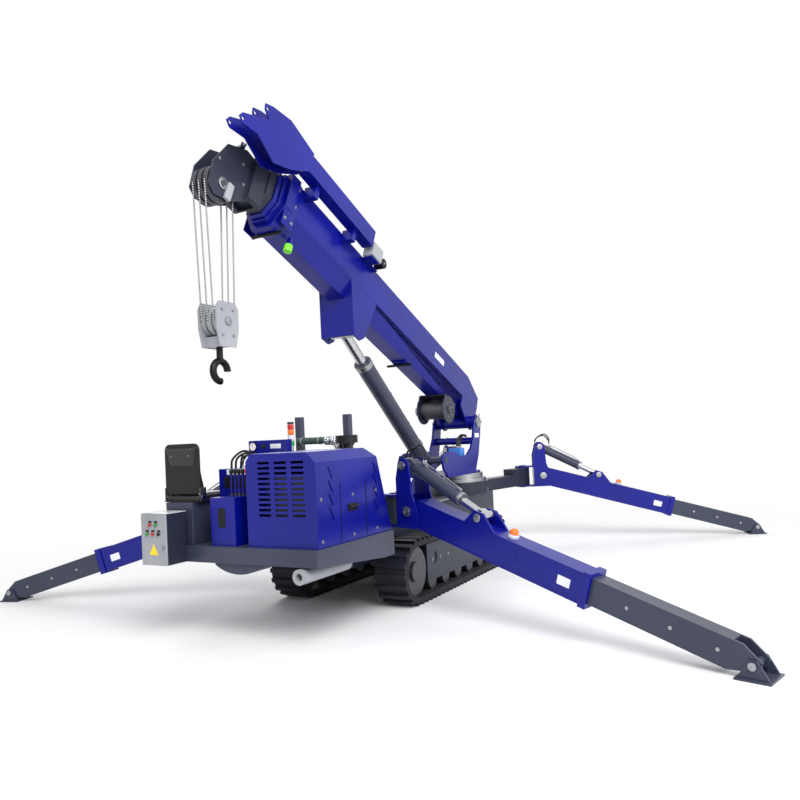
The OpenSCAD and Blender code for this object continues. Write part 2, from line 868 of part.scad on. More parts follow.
module bracket(k) {
    color(BLUE) leg_frame(k) {
        both_sides() plate_y(bracket_gap / 2, bracket_gap / 2 + bracket_t) bracket_side();
        for (z = [king_z0 - bracket_t - 1, king_z1 + 1])
            translate([0, 0, z]) {
                cylinder(r = 105, h = bracket_t);
                translate([0, -105, 0]) cube([180, 210, bracket_t]);
                translate([140, -bracket_gap / 2 - 1, 0])
                    cube([40, bracket_gap + 2, bracket_t]);
            }
        translate([0, 0, king_z0 - bracket_t - 10])
            cylinder(r = king_pin_r, h = king_z1 - king_z0 + 2 * bracket_t + 20);
        translate([150, -bracket_gap / 2 - 1, king_z0 - bracket_t])
            cube([16, bracket_gap + 2, king_z1 - king_z0 + 2 * bracket_t]);
    }
}

module bracket_rr() {
    bracket(0);
}

module bracket_rl() {
    bracket(1);
}

module bracket_fr() {
    bracket(2);
}

module bracket_fl() {
    bracket(3);
}

collar_x = 1826;

module outer_beam(k) {
    color(BLUE) beam_frame(k) difference() {
        union() {
            slab(60, collar_x, -leg_outer_w / 2, leg_outer_w / 2,
                -leg_outer_h / 2, leg_outer_h / 2);
            slab(collar_x - 60, collar_x, -leg_outer_w / 2 - 14, leg_outer_w / 2 + 14,
                -leg_outer_h / 2 - 14, leg_outer_h / 2 + 14);
            bar_y(0, 0, 62, leg_outer_w);
            slab(0, 70, -leg_outer_w / 2, leg_outer_w / 2, -leg_outer_h / 2, 62);
            both_sides() plate_y(leg_eye_gap / 2, leg_outer_w / 2)
                polygon([[rod_eye_x - 130, leg_outer_h / 2 - 1], [rod_eye_x - 50, 240],
                    [rod_eye_x + 40, 240], [rod_eye_x + 190, leg_outer_h / 2 - 1]]);
        }
        slab(260, collar_x - 80, -leg_outer_w / 2 + leg_wall, leg_outer_w / 2 - leg_wall,
            -leg_outer_h / 2 + leg_wall, leg_outer_h / 2 - leg_wall);
        slab(259, collar_x + 1, -leg_inner_w / 2 - seat_gap, leg_inner_w / 2 + seat_gap,
            -leg_inner_h / 2 - seat_gap, leg_inner_h / 2 + seat_gap);
    }
    color(STEEL) beam_frame(k) {
        bar_y(0, 0, raise_pin_r, bracket_gap + 2 * bracket_t + 16);
    }
}

module outer_beam_rr() {
    outer_beam(0);
}

module outer_beam_rl() {
    outer_beam(1);
}

module outer_beam_fr() {
    outer_beam(2);
}

module outer_beam_fl() {
    outer_beam(3);
}

inner_x0 = 1090;

module inner_beam(k) {
    color(SLATE) beam_frame(k) difference() {
        slab(inner_x0, leg_len - 150, -leg_inner_w / 2, leg_inner_w / 2,
            -leg_inner_h / 2, leg_inner_h / 2);
        slab(inner_x0 - 1, leg_len - 170, -leg_inner_w / 2 + leg_wall,
            leg_inner_w / 2 - leg_wall, -leg_inner_h / 2 + leg_wall,
            leg_inner_h / 2 - leg_wall);
    }
    color(SLATE) beam_frame(k) difference() {
        both_sides() plate_y(leg_inner_w / 2 - 20, leg_inner_w / 2) polygon([
            [leg_len - 151, -leg_inner_h / 2], [leg_len - 151, leg_inner_h / 2],
            [leg_len - 90, leg_inner_h / 2], [leg_len + 45, 30], [leg_len + 45, -30],
            [leg_len + 5, -45]]);
        bar_y(leg_len, 0, 25 + pin_clear, leg_inner_w + 4);
    }
}

module inner_beam_rr() {
    inner_beam(0);
}

module inner_beam_rl() {
    inner_beam(1);
}

module inner_beam_fr() {
    inner_beam(2);
}

module inner_beam_fl() {
    inner_beam(3);
}

module foot(k) {
    color(SLATE) leg_frame(k) translate([raise_off + leg_len * cos(leg_pitch), 0, 0]) {
        slab(-112, 112, -122, 122, 0, 14);
        both_sides() plate_y(leg_inner_w / 2 + slip, leg_inner_w / 2 + slip + 16)
            polygon([[-98, 13], [-30, foot_z + 34], [30, foot_z + 34], [98, 13]]);
        bar_y(0, foot_z, 25, leg_inner_w + 2 * slip + 50);
    }
}

module foot_rr() {
    foot(0);
}

module foot_rl() {
    foot(1);
}

module foot_fr() {
    foot(2);
}

module foot_fl() {
    foot(3);
}

// Leg cylinder from the bracket's top pin to the ears on the outer beam
eye_world_x = rod_eye_x * cos(leg_pitch) + rod_eye_z * sin(leg_pitch);
eye_world_z = -rod_eye_x * sin(leg_pitch) + rod_eye_z * cos(leg_pitch);
leg_cyl_len = norm([eye_world_x - cyl_top_x, eye_world_z - cyl_top_z]);
leg_cyl_dip = atan2(cyl_top_z - eye_world_z, eye_world_x - cyl_top_x);
leg_barrel_len = 640;

module leg_cyl_frame(k) {
    leg_frame(k) translate([raise_off + cyl_top_x, 0, raise_z + cyl_top_z])
        rotate([0, leg_cyl_dip, 0]) children();
}

module leg_barrel(k) {
    color(SLATE) leg_cyl_frame(k) difference() {
        union() {
            bar_x(50, leg_barrel_len, 0, 0, leg_cyl_r);
            bar_y(0, 0, 52, 100);
            slab(0, 60, -50, 50, -45, 45);
            bar_y(0, 0, 30, bracket_gap + 2 * bracket_t + 16);
        }
        bar_x(110, leg_barrel_len + 1, 0, 0, leg_rod_r + 1);
    }
}

module leg_barrel_rr() {
    leg_barrel(0);
}

module leg_barrel_rl() {
    leg_barrel(1);
}

module leg_barrel_fr() {
    leg_barrel(2);
}

module leg_barrel_fl() {
    leg_barrel(3);
}

module leg_rod(k) {
    color(STEEL) leg_cyl_frame(k) {
        bar_x(480, leg_cyl_len - 30, 0, 0, leg_rod_r);
        bar_y(leg_cyl_len, 0, 42, leg_eye_gap - 2 * slip);
        slab(leg_cyl_len - 60, leg_cyl_len, -40, 40, -40, 40);
    }
}

module leg_rod_rr() {
    leg_rod(0);
}

module leg_rod_rl() {
    leg_rod(1);
}

module leg_rod_fr() {
    leg_rod(2);
}

module leg_rod_fl() {
    leg_rod(3);
}

tracks();
track_frames();
track_wheels();
chassis_frame();
slew_ring();
rear_deck();
engine_hood();
engine_block();
fuel_tank();
muffler();
boom_rest();
air_intake();
signal_light();
seat();
seat_base();
lever_console();
instrument_panel();
cabinet_box();
cabinet_door();
hydraulic_pipes();
column();
valve_block();
luff_barrel();
luff_rod();
boom_base();
winch_frame();
winch_drum();
fly_jib();
boom_section_2();
boom_section_3();
boom_section_4();
head_sheaves();
hoist_ropes();
hook_block();
hook();
bracket_rr();
outer_beam_rr();
inner_beam_rr();
foot_rr();
leg_barrel_rr();
leg_rod_rr();
bracket_rl();
outer_beam_rl();
inner_beam_rl();
foot_rl();
leg_barrel_rl();
leg_rod_rl();
bracket_fr();
outer_beam_fr();
inner_beam_fr();
foot_fr();
leg_barrel_fr();
leg_rod_fr();
bracket_fl();
outer_beam_fl();
inner_beam_fl();
foot_fl();
leg_barrel_fl();
leg_rod_fl();
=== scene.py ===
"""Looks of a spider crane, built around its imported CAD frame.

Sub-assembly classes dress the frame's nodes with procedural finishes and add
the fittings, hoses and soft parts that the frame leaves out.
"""

import json
import logging
import math
from dataclasses import dataclass, field
from enum import Enum
from typing import Sequence

import bmesh
import bpy
from mathutils import Matrix, Vector
from mathutils.geometry import tessellate_polygon

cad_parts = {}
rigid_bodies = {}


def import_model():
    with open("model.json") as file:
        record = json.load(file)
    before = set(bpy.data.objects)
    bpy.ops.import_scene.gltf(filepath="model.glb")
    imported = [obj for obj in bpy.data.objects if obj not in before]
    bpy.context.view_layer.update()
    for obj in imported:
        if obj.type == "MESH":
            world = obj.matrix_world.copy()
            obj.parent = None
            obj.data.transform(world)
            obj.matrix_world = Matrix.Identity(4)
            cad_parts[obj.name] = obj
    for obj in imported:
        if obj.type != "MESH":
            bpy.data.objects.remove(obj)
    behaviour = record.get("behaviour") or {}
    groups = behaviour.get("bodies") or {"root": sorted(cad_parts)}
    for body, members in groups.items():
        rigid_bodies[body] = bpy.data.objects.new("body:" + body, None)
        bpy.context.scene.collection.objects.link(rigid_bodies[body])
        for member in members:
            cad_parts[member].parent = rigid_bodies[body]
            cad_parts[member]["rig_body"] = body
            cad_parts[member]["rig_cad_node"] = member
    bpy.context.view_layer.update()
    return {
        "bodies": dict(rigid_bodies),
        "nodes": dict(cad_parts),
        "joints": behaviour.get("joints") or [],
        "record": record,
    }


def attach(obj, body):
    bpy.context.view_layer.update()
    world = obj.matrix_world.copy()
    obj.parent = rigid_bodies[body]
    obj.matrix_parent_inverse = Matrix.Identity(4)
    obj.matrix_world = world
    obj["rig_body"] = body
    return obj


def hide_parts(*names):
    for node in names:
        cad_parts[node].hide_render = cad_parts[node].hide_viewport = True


LOG = logging.getLogger("spider_crane")
Point = Sequence[float]
Outline = Sequence[tuple[float, float]]


class Tint(Enum):
    """Colours of the finishes, as they look on a screen, 0 to 255."""

    BLUE = (3, 12, 122)
    SLATE = (50, 55, 74)
    SLATE_DARK = (34, 38, 54)
    GALVANISED = (168, 170, 174)
    BRIGHT = (205, 207, 210)
    IRON = (96, 98, 104)
    BLACK = (14, 15, 18)
    RUBBER = (18, 20, 30)
    DUST = (120, 116, 108)
    VINYL = (14, 14, 17)
    PALE = (196, 198, 202)
    CAST_GREY = (150, 152, 158)
    WHITE = (226, 228, 234)
    SKY = (60, 120, 200)
    AMBER = (240, 160, 40)
    YELLOW = (236, 206, 30)
    ORANGE = (236, 110, 24)
    RED = (190, 26, 22)
    GREEN = (30, 140, 60)
    LIME = (120, 220, 50)
    PRIMER = (52, 74, 70)

    def linear(self, share: float = 1.0) -> tuple[float, float, float, float]:
        """Scene-linear colour with alpha.

        Args:
            share: how much it is brightened or darkened.

        Returns:
            Red, green, blue and alpha.
        """
        out = []
        for level in self.value:
            part = level / 255
            out.append(min(1.0, share * (part / 12.92 if part <= 0.04045 else ((part + 0.055) / 1.055) ** 2.4)))
        return (out[0], out[1], out[2], 1.0)


class Nodes:
    """A small writer of shader node trees."""

    def __init__(self, name: str) -> None:
        """Start a material with a Principled shader.

        Args:
            name: the material's name.
        """
        self.material = bpy.data.materials.new(name)
        self.material.use_nodes = True
        self.tree = self.material.node_tree
        self.shader = self.tree.nodes["Principled BSDF"]
        self.place = self.tree.nodes.new("ShaderNodeTexCoord")

    def add(self, kind: str, **values: object) -> bpy.types.Node:
        """Add a node and set its sockets or properties by name.

        Args:
            kind: Blender's class name of the node.
            **values: a property, or a socket with spaces as underscores.

        Returns:
            The new node.
        """
        node = self.tree.nodes.new(kind)
        for key, value in values.items():
            if hasattr(node, key):
                setattr(node, key, value)
            else:
                node.inputs[key.replace("_", " ")].default_value = value
        return node

    def link(self, source: bpy.types.NodeSocket, target: bpy.types.NodeSocket) -> None:
        """Join an output to an input.

        Args:
            source: the output.
            target: the input.
        """
        self.tree.links.new(source, target)

    def noise(self, scale: float, detail: float = 4.0, stretch: Point = (1, 1, 1)) -> bpy.types.NodeSocket:
        """Noise over the rest frame's metres.

        Args:
            scale: waves per metre, about.
            detail: octaves.
            stretch: scale along each axis.

        Returns:
            The noise's value socket.
        """
        mapping = self.add("ShaderNodeMapping")
        mapping.inputs["Scale"].default_value = stretch
        self.link(self.place.outputs["Object"], mapping.inputs["Vector"])
        texture = self.add("ShaderNodeTexNoise", Scale=scale, Detail=detail)
        self.link(mapping.outputs["Vector"], texture.inputs["Vector"])
        return texture.outputs["Fac"]

    def ramp(self, source: bpy.types.NodeSocket, stops: Sequence[tuple[float, Point]]) -> bpy.types.NodeSocket:
        """Colour ramp over a value.

        Args:
            source: the value.
            stops: positions with their colours.

        Returns:
            The ramp's colour socket.
        """
        node = self.add("ShaderNodeValToRGB")
        elements = node.color_ramp.elements
        while len(elements) < len(stops):
            elements.new(0.5)
        for element, (position, colour) in zip(elements, stops):
            element.position = position
            element.color = colour
        self.link(source, node.inputs["Fac"])
        return node.outputs["Color"]

    def levels(self, source: bpy.types.NodeSocket, low: float, high: float) -> bpy.types.NodeSocket:
        """Map a 0 to 1 value to another range.

        Args:
            source: the value.
            low: what 0 becomes.
            high: what 1 becomes.

        Returns:
            The new value's socket.
        """
        node = self.add("ShaderNodeMapRange")
        node.inputs["To Min"].default_value = low
        node.inputs["To Max"].default_value = high
        self.link(source, node.inputs["Value"])
        return node.outputs["Result"]

    def bump(self, height: bpy.types.NodeSocket, strength: float, distance: float) -> None:
        """Feed a height to the shader's normal.

        Args:
            height: the height value.
            strength: share of the full effect.
            distance: height of a full step in metres.
        """
        node = self.add("ShaderNodeBump", Strength=strength, Distance=distance)
        self.link(height, node.inputs["Height"])
        self.link(node.outputs["Normal"], self.shader.inputs["Normal"])

    def dust(self, base: bpy.types.NodeSocket, amount: float) -> bpy.types.NodeSocket:
        """Settle dust on faces that look up.

        Args:
            base: the clean colour.
            amount: share of dust on a level face.

        Returns:
            The dusty colour socket.
        """
        geometry = self.add("ShaderNodeNewGeometry")
        split = self.add("ShaderNodeSeparateXYZ")
        self.link(geometry.outputs["Normal"], split.inputs["Vector"])
        facing = self.add("ShaderNodeMapRange")
        facing.inputs["From Min"].default_value = 0.6
        facing.inputs["To Max"].default_value = amount
        self.link(split.outputs["Z"], facing.inputs["Value"])
        patchy = self.add("ShaderNodeMath", operation="MULTIPLY")
        self.link(facing.outputs["Result"], patchy.inputs[0])
        self.link(self.noise(3.0, 5.0), patchy.inputs[1])
        mix = self.add("ShaderNodeMix", data_type="RGBA")
        self.link(patchy.outputs["Value"], mix.inputs["Factor"])
        self.link(base, mix.inputs["A"])
        mix.inputs["B"].default_value = Tint.DUST.linear()
        return mix.outputs["Result"]


class Finish:
    """A surface finish. Each one builds its material once."""

    name: str
    _built: dict[str, bpy.types.Material] = {}

    def build(self) -> bpy.types.Material:
        """Make the material."""
        raise NotImplementedError

    def material(self) -> bpy.types.Material:
        """The finish's material, built at its first use."""
        if self.name not in Finish._built:
            Finish._built[self.name] = self.build()
        return Finish._built[self.name]


@dataclass(frozen=True)
class Paint(Finish):
    """Sprayed machine paint with a clear gloss, faint mottle and orange peel."""

    name: str
    tint: Tint
    rough: float = 0.3
    coat: float = 0.12
    dusty: float = 0.03
    gloss: float = 0.3
    shade: float = 1.0

    def build(self) -> bpy.types.Material:
        """Make the paint's material."""
        n = Nodes(self.name)
        base = n.ramp(n.noise(1.6, 5.0), [(0.35, self.tint.linear(0.86 * self.shade)),
                                          (0.65, self.tint.linear(1.1 * self.shade))])
        n.link(n.dust(base, self.dusty), n.shader.inputs["Base Color"])
        n.link(n.levels(n.noise(7.0, 6.0), self.rough - 0.07, self.rough + 0.1), n.shader.inputs["Roughness"])
        n.shader.inputs["Coat Weight"].default_value = self.coat
        n.shader.inputs["Coat Roughness"].default_value = 0.12
        n.shader.inputs["Specular IOR Level"].default_value = self.gloss
        n.bump(n.noise(260.0, 2.0), 0.12, 0.0006)
        return n.material


@dataclass(frozen=True)
class Metal(Finish):
    """Bare or plated metal, brushed along one way."""

    name: str
    tint: Tint
    rough: float = 0.3
    grain: tuple[float, float, float] = (1.0, 12.0, 12.0)
    metallic: float = 1.0

    def build(self) -> bpy.types.Material:
        """Make the metal's material."""
        n = Nodes(self.name)
        n.link(n.ramp(n.noise(9.0, 6.0, self.grain), [(0.3, self.tint.linear(0.72)), (0.7, self.tint.linear(1.08))]),
               n.shader.inputs["Base Color"])
        n.link(n.levels(n.noise(40.0, 3.0, self.grain), self.rough - 0.08, self.rough + 0.14),
               n.shader.inputs["Roughness"])
        n.shader.inputs["Metallic"].default_value = self.metallic
        n.bump(n.noise(160.0, 3.0, self.grain), 0.12, 0.0008)
        return n.material


@dataclass(frozen=True)
class Rubber(Finish):
    """Moulded rubber or plastic with a matt grain and dust in its surface."""

    name: str
    tint: Tint
    rough: float = 0.62
    dusty: float = 0.5
    grain: float = 420.0
    relief: float = 0.0015

    def build(self) -> bpy.types.Material:
        """Make the rubber's material."""
        n = Nodes(self.name)
        base = n.ramp(n.noise(5.0, 7.0), [(0.3, self.tint.linear(0.7)), (0.72, self.tint.linear(1.5))])
        n.link(n.dust(base, self.dusty), n.shader.inputs["Base Color"])
        n.link(n.levels(n.noise(14.0, 4.0), self.rough - 0.1, self.rough + 0.15), n.shader.inputs["Roughness"])
        n.shader.inputs["Specular IOR Level"].default_value = 0.3
        n.bump(n.noise(self.grain, 4.0), 0.35, self.relief)
        return n.material


@dataclass(frozen=True)
class Vinyl(Finish):
    """Pebbled seat vinyl with a soft sheen."""

    name: str
    tint: Tint

    def build(self) -> bpy.types.Material:
        """Make the vinyl's material."""
        n = Nodes(self.name)
        n.link(n.ramp(n.noise(6.0, 5.0), [(0.3, self.tint.linear(0.8)), (0.7, self.tint.linear(1.4))]),
               n.shader.inputs["Base Color"])
        cells = n.add("ShaderNodeTexVoronoi", Scale=340.0, feature="F1")
        n.link(n.place.outputs["Object"], cells.inputs["Vector"])
        n.link(n.levels(n.noise(11.0), 0.3, 0.46), n.shader.inputs["Roughness"])
        n.shader.inputs["Sheen Weight"].default_value = 0.08
        n.bump(cells.outputs["Distance"], 0.3, 0.0014)
        return n.material


@dataclass(frozen=True)
class Lens(Finish):
    """Coloured lamp plastic, ribbed inside."""

    name: str
    tint: Tint
    glow: float = 0.0

    def build(self) -> bpy.types.Material:
        """Make the lens's material."""
        n = Nodes(self.name)
        n.link(n.ramp(n.noise(30.0, 2.0), [(0.3, self.tint.linear(0.8)), (0.7, self.tint.linear(1.15))]),
               n.shader.inputs["Base Color"])
        n.link(n.levels(n.noise(20.0), 0.08, 0.2), n.shader.inputs["Roughness"])
        n.shader.inputs["Transmission Weight"].default_value = 0.2
        n.shader.inputs["Emission Color"].default_value = self.tint.linear()
        n.shader.inputs["Emission Strength"].default_value = self.glow
        n.bump(n.noise(60.0, 1.0, (1, 1, 8)), 0.2, 0.002)
        return n.material


@dataclass(frozen=True)
class Foil(Finish):
    """Crumpled heat-shield foil."""

    name: str = "foil_wrap"

    def build(self) -> bpy.types.Material:
        """Make the foil's material."""
        n = Nodes(self.name)
        n.link(n.ramp(n.noise(18.0, 5.0), [(0.3, Tint.GALVANISED.linear(0.7)), (0.7, Tint.WHITE.linear(1.0))]),
               n.shader.inputs["Base Color"])
        n.link(n.levels(n.noise(30.0), 0.16, 0.4), n.shader.inputs["Roughness"])
        n.shader.inputs["Metallic"].default_value = 1.0
        cells = n.add("ShaderNodeTexVoronoi", Scale=46.0, feature="F1")
        n.link(n.place.outputs["Object"], cells.inputs["Vector"])
        n.bump(cells.outputs["Distance"], 0.9, 0.02)
        return n.material


@dataclass(frozen=True)
class Strand(Finish):
    """Laid wire rope, its strands as a slanted ripple."""

    name: str = "wire_rope"

    def build(self) -> bpy.types.Material:
        """Make the rope's material."""
        n = Nodes(self.name)
        wave = n.add("ShaderNodeTexWave", bands_direction="Z", Scale=16.0, Distortion=1.5)
        n.link(n.place.outputs["Object"], wave.inputs["Vector"])
        n.link(n.ramp(wave.outputs["Fac"], [(0.2, Tint.IRON.linear(0.5)), (0.8, Tint.PALE.linear(0.8))]),
               n.shader.inputs["Base Color"])
        n.link(n.levels(n.noise(25.0), 0.35, 0.55), n.shader.inputs["Roughness"])
        n.shader.inputs["Metallic"].default_value = 0.7
        n.bump(wave.outputs["Fac"], 0.6, 0.003)
        return n.material


BLUE = Paint("blue_paint", Tint.BLUE)
SLATE = Paint("slate_paint", Tint.SLATE, rough=0.36, coat=0.2, dusty=0.14)
SLATE_DARK = Paint("dark_slate_paint", Tint.SLATE_DARK, rough=0.4, coat=0.15, dusty=0.12)
PALE_PAINT = Paint("pale_grey_paint", Tint.PALE, rough=0.34, coat=0.25, dusty=0.12)
SKY_PAINT = Paint("sky_blue_paint", Tint.SKY, rough=0.3)
AMBER_PAINT = Paint("amber_plastic", Tint.AMBER, rough=0.3, coat=0.1)
PRIMER = Paint("pipe_green", Tint.PRIMER, rough=0.45, coat=0.05, dusty=0.15)
RED_PAINT = Paint("red_plastic", Tint.RED, rough=0.26)
GREEN_PAINT = Paint("green_plastic", Tint.GREEN, rough=0.26)
LIME_PAINT = Paint("lime_plastic", Tint.LIME, rough=0.3)
YELLOW_PAINT = Paint("yellow_sign", Tint.YELLOW, rough=0.35)
LABEL = Paint("blank_label", Tint.WHITE, rough=0.4, coat=0.1, dusty=0.05)
CHROME = Metal("chrome", Tint.BRIGHT, rough=0.14)
ZINC = Metal("zinc_fittings", Tint.GALVANISED, rough=0.34)
MACHINED = Metal("machined_steel", Tint.GALVANISED, rough=0.3)
IRON = Metal("dark_iron", Tint.IRON, rough=0.45)
CAST = Paint("cast_grey", Tint.CAST_GREY, rough=0.38, coat=0.15, dusty=0.12)
BLACK_IRON = Metal("black_iron", Tint.BLACK, rough=0.4, metallic=0.6)
TRACK_RUBBER = Rubber("track_rubber", Tint.RUBBER, rough=0.6, dusty=0.16)
HOSE = Rubber("hose_rubber", Tint.BLACK, rough=0.42, dusty=0.1, grain=900.0, relief=0.0005)
BLACK_PLASTIC = Rubber("black_plastic", Tint.BLACK, rough=0.36, dusty=0.1, grain=700.0, relief=0.0004)
VINYL = Vinyl("seat_vinyl", Tint.VINYL)
FOIL = Foil()
ROPE = Strand()
BEACON = Lens("beacon_orange", Tint.ORANGE, glow=0.25)
RED_LENS = Lens("lens_red", Tint.RED, glow=0.2)
AMBER_LENS = Lens("lens_amber", Tint.ORANGE, glow=0.15)
CLEAR_LENS = Lens("lens_clear", Tint.WHITE, glow=0.05)
GREEN_LENS = Lens("lens_green", Tint.GREEN, glow=0.25)


@dataclass
class Studio:
    """Pale floor, soft lights and the camera of the photograph."""

    eye: tuple[float, float, float] = (-7.787, -4.056, 1.630)
    yaw: float = 0.495
    pitch: float = 0.028
    roll: float = -0.049
    focal_px: float = 732.948
    middle_px: tuple[float, float] = (410.773, 411.398)
    image_px: float = 800.0
    sensor_mm: float = 36.0
    floor_reach: float = 60.0
    fade_from: float = 3.5
    fade_to: float = 8.0

    def set_camera(self) -> bpy.types.Object:
        """Make the camera that the photograph gives.

        Returns:
            The camera object.
        """
        forward = Vector((math.cos(self.pitch) * math.cos(self.yaw), math.cos(self.pitch) * math.sin(self.yaw),
                          math.sin(self.pitch)))
        right = Vector((math.sin(self.yaw), -math.cos(self.yaw), 0.0))
        above = right.cross(forward)
        turned = right * math.cos(self.roll) + above * math.sin(self.roll)
        upright = above * math.cos(self.roll) - right * math.sin(self.roll)
        data = bpy.data.cameras.new("camera")
        data.sensor_width = self.sensor_mm
        data.lens = self.focal_px * self.sensor_mm / self.image_px
        half = self.image_px / 2
        data.shift_x = (half - self.middle_px[0]) / self.image_px
        data.shift_y = (self.middle_px[1] - half) / self.image_px
        data.clip_end = 200.0
        camera = bpy.data.objects.new("camera", data)
        axes = Matrix((turned, upright, -forward)).transposed().to_4x4()
        camera.matrix_world = Matrix.Translation(Vector(self.eye)) @ axes
        bpy.context.scene.collection.objects.link(camera)
        bpy.context.scene.camera = camera
        return camera

    def lay_floor(self) -> bpy.types.Object:
        """Lay the pale floor, white to the camera and to gloss, shaded under the machine.

        Returns:
            The floor object.
        """
        n = Nodes("studio_floor")
        speckle = n.ramp(n.noise(2.0, 3.0), [(0.3, (0.84, 0.84, 0.85, 1)), (0.7, (0.88, 0.88, 0.89, 1))])
        n.link(speckle, n.shader.inputs["Base Color"])
        n.shader.inputs["Roughness"].default_value = 0.9
        reach_out = n.add("ShaderNodeVectorMath", operation="LENGTH")
        n.link(n.place.outputs["Object"], reach_out.inputs[0])
        fade = n.add("ShaderNodeMapRange", interpolation_type="SMOOTHSTEP")
        fade.inputs["From Min"].default_value = self.fade_from
        fade.inputs["From Max"].default_value = self.fade_to
        n.link(reach_out.outputs["Value"], fade.inputs["Value"])
        glow = n.add("ShaderNodeEmission", Strength=1.0)
        glow.inputs["Color"].default_value = (1.0, 1.0, 1.0, 1.0)
        mix = n.add("ShaderNodeMixShader")
        n.link(fade.outputs["Result"], mix.inputs["Fac"])
        n.link(n.shader.outputs["BSDF"], mix.inputs[1])
        n.link(glow.outputs["Emission"], mix.inputs[2])
        n.link(mix.outputs["Shader"], n.tree.nodes["Material Output"].inputs["Surface"])
        mesh = bpy.data.meshes.new("floor")
        reach = self.floor_reach
        mesh.from_pydata([(-reach, -reach, 0), (reach, -reach, 0), (reach, reach, 0), (-reach, reach, 0)], [],
                         [(0, 1, 2, 3)])
        mesh.materials.append(n.material)
        floor = bpy.data.objects.new("floor", mesh)
        bpy.context.scene.collection.objects.link(floor)
        return floor

    def set_light(self) -> None:
        """Light the machine with a bright sky and three large soft lamps."""
        world = bpy.data.worlds.new("studio")
        world.use_nodes = True
        tree = world.node_tree
        back = tree.nodes["Background"]
        back.inputs["Color"].default_value = (1.0, 1.0, 1.0, 1.0)
        path = tree.nodes.new("ShaderNodeLightPath")
        either = tree.nodes.new("ShaderNodeMath")
        either.operation = "MAXIMUM"
        tree.links.new(path.outputs["Is Camera Ray"], either.inputs[0])
        tree.links.new(path.outputs["Is Glossy Ray"], either.inputs[1])
        level = tree.nodes.new("ShaderNodeMapRange")
        level.inputs["To Min"].default_value = 0.55
        level.inputs["To Max"].default_value = 1.0
        tree.links.new(either.outputs["Value"], level.inputs["Value"])
        tree.links.new(level.outputs["Result"], back.inputs["Strength"])
        bpy.context.scene.world = world
        lamps = (("key", (-9.0, -7.0, 9.0), 7.0, 1500.0), ("fill", (-2.0, -11.0, 5.0), 7.0, 500.0),
                 ("rim", (7.0, 8.0, 9.0), 8.0, 700.0))
        for name, place, size, watts in lamps:
            data = bpy.data.lights.new(name, "AREA")
            data.energy = watts
            data.size = size
            lamp = bpy.data.objects.new(name, data)
            lamp.location = place
            aim = Vector((0.0, 0.0, 1.2)) - Vector(place)
            lamp.rotation_euler = aim.to_track_quat("-Z", "Y").to_euler()
            bpy.context.scene.collection.objects.link(lamp)
        bpy.context.scene.view_settings.view_transform = "Standard"

    def build(self) -> None:
        """Set up camera, floor and light."""
        self.set_camera()
        self.lay_floor()
        self.set_light()


IDENTITY = Matrix.Identity(4)
PLANES = {"xz": lambda u, v, t: (u, t, v), "xy": lambda u, v, t: (u, v, t), "yz": lambda u, v, t: (t, u, v)}


def arc(middle: tuple[float, float], radius: float, start: float, end: float,
        steps: int = 8) -> list[tuple[float, float]]:
    """Points along an arc.

    Args:
        middle: centre of the arc.
        radius: its radius.
        start: first angle in degrees.
        end: last angle in degrees.
        steps: number of chords.

    Returns:
        The points, both ends included.
    """
    turns = [math.radians(start + (end - start) * i / steps) for i in range(steps + 1)]
    return [(middle[0] + radius * math.cos(t), middle[1] + radius * math.sin(t)) for t in turns]


def rounded(low: tuple[float, float], high: tuple[float, float], radius: float) -> list[tuple[float, float]]:
    """Outline of a rectangle with round corners.

    Args:
        low: its lower left corner.
        high: its upper right corner.
        radius: radius of its corners.

    Returns:
        The points, anticlockwise.
    """
    (x0, y0), (x1, y1) = (low[0] + radius, low[1] + radius), (high[0] - radius, high[1] - radius)
    return (arc((x1, y0), radius, -90, 0, 5) + arc((x1, y1), radius, 0, 90, 5)
            + arc((x0, y1), radius, 90, 180, 5) + arc((x0, y0), radius, 180, 270, 5))


def inset(outline: Outline, by: float) -> list[tuple[float, float]]:
    """Outline moved inward by a distance, corners mitred.

    Args:
        outline: points, anticlockwise.
        by: distance; negative moves it out.

    Returns:
        As many points, moved.
    """
    moved = []
    count = len(outline)
    for i, (x, y) in enumerate(outline):
        before = Vector((x - outline[i - 1][0], y - outline[i - 1][1])).normalized()
        after = Vector((outline[(i + 1) % count][0] - x, outline[(i + 1) % count][1] - y)).normalized()
        normal = Vector((-before.y - after.y, before.x + after.x))
        reach = by / max(0.35, normal.length / 2)
        step = normal.normalized() * reach if normal.length > 1e-6 else Vector((0.0, 0.0))
        moved.append((x + step.x, y + step.y))
    return moved


def signed_area(outline: Outline) -> float:
    """Area of an outline.

    Args:
        outline: its points.

    Returns:
        The area, positive when the points run anticlockwise.
    """
    return sum(outline[i - 1][0] * y - x * outline[i - 1][1] for i, (x, y) in enumerate(outline)) / 2


def spline(points: Sequence[Point], steps: int = 8) -> list[Vector]:
    """Smooth line through the given points.

    Args:
        points: what it passes through.
        steps: points added for each stretch.

    Returns:
        Points along the line.
    """
    knots = [Vector(p) for p in points]
    knots = [knots[0] * 2 - knots[1]] + knots + [knots[-1] * 2 - knots[-2]]
    line = []
    for a, b, c, d in zip(knots, knots[1:], knots[2:], knots[3:]):
        for i in range(steps):
            t = i / steps
            line.append(0.5 * ((2 * b) + (c - a) * t + (2 * a - 5 * b + 4 * c - d) * t * t
                               + (3 * b - a - 3 * c + d) * t * t * t))
    return line + [knots[-2]]


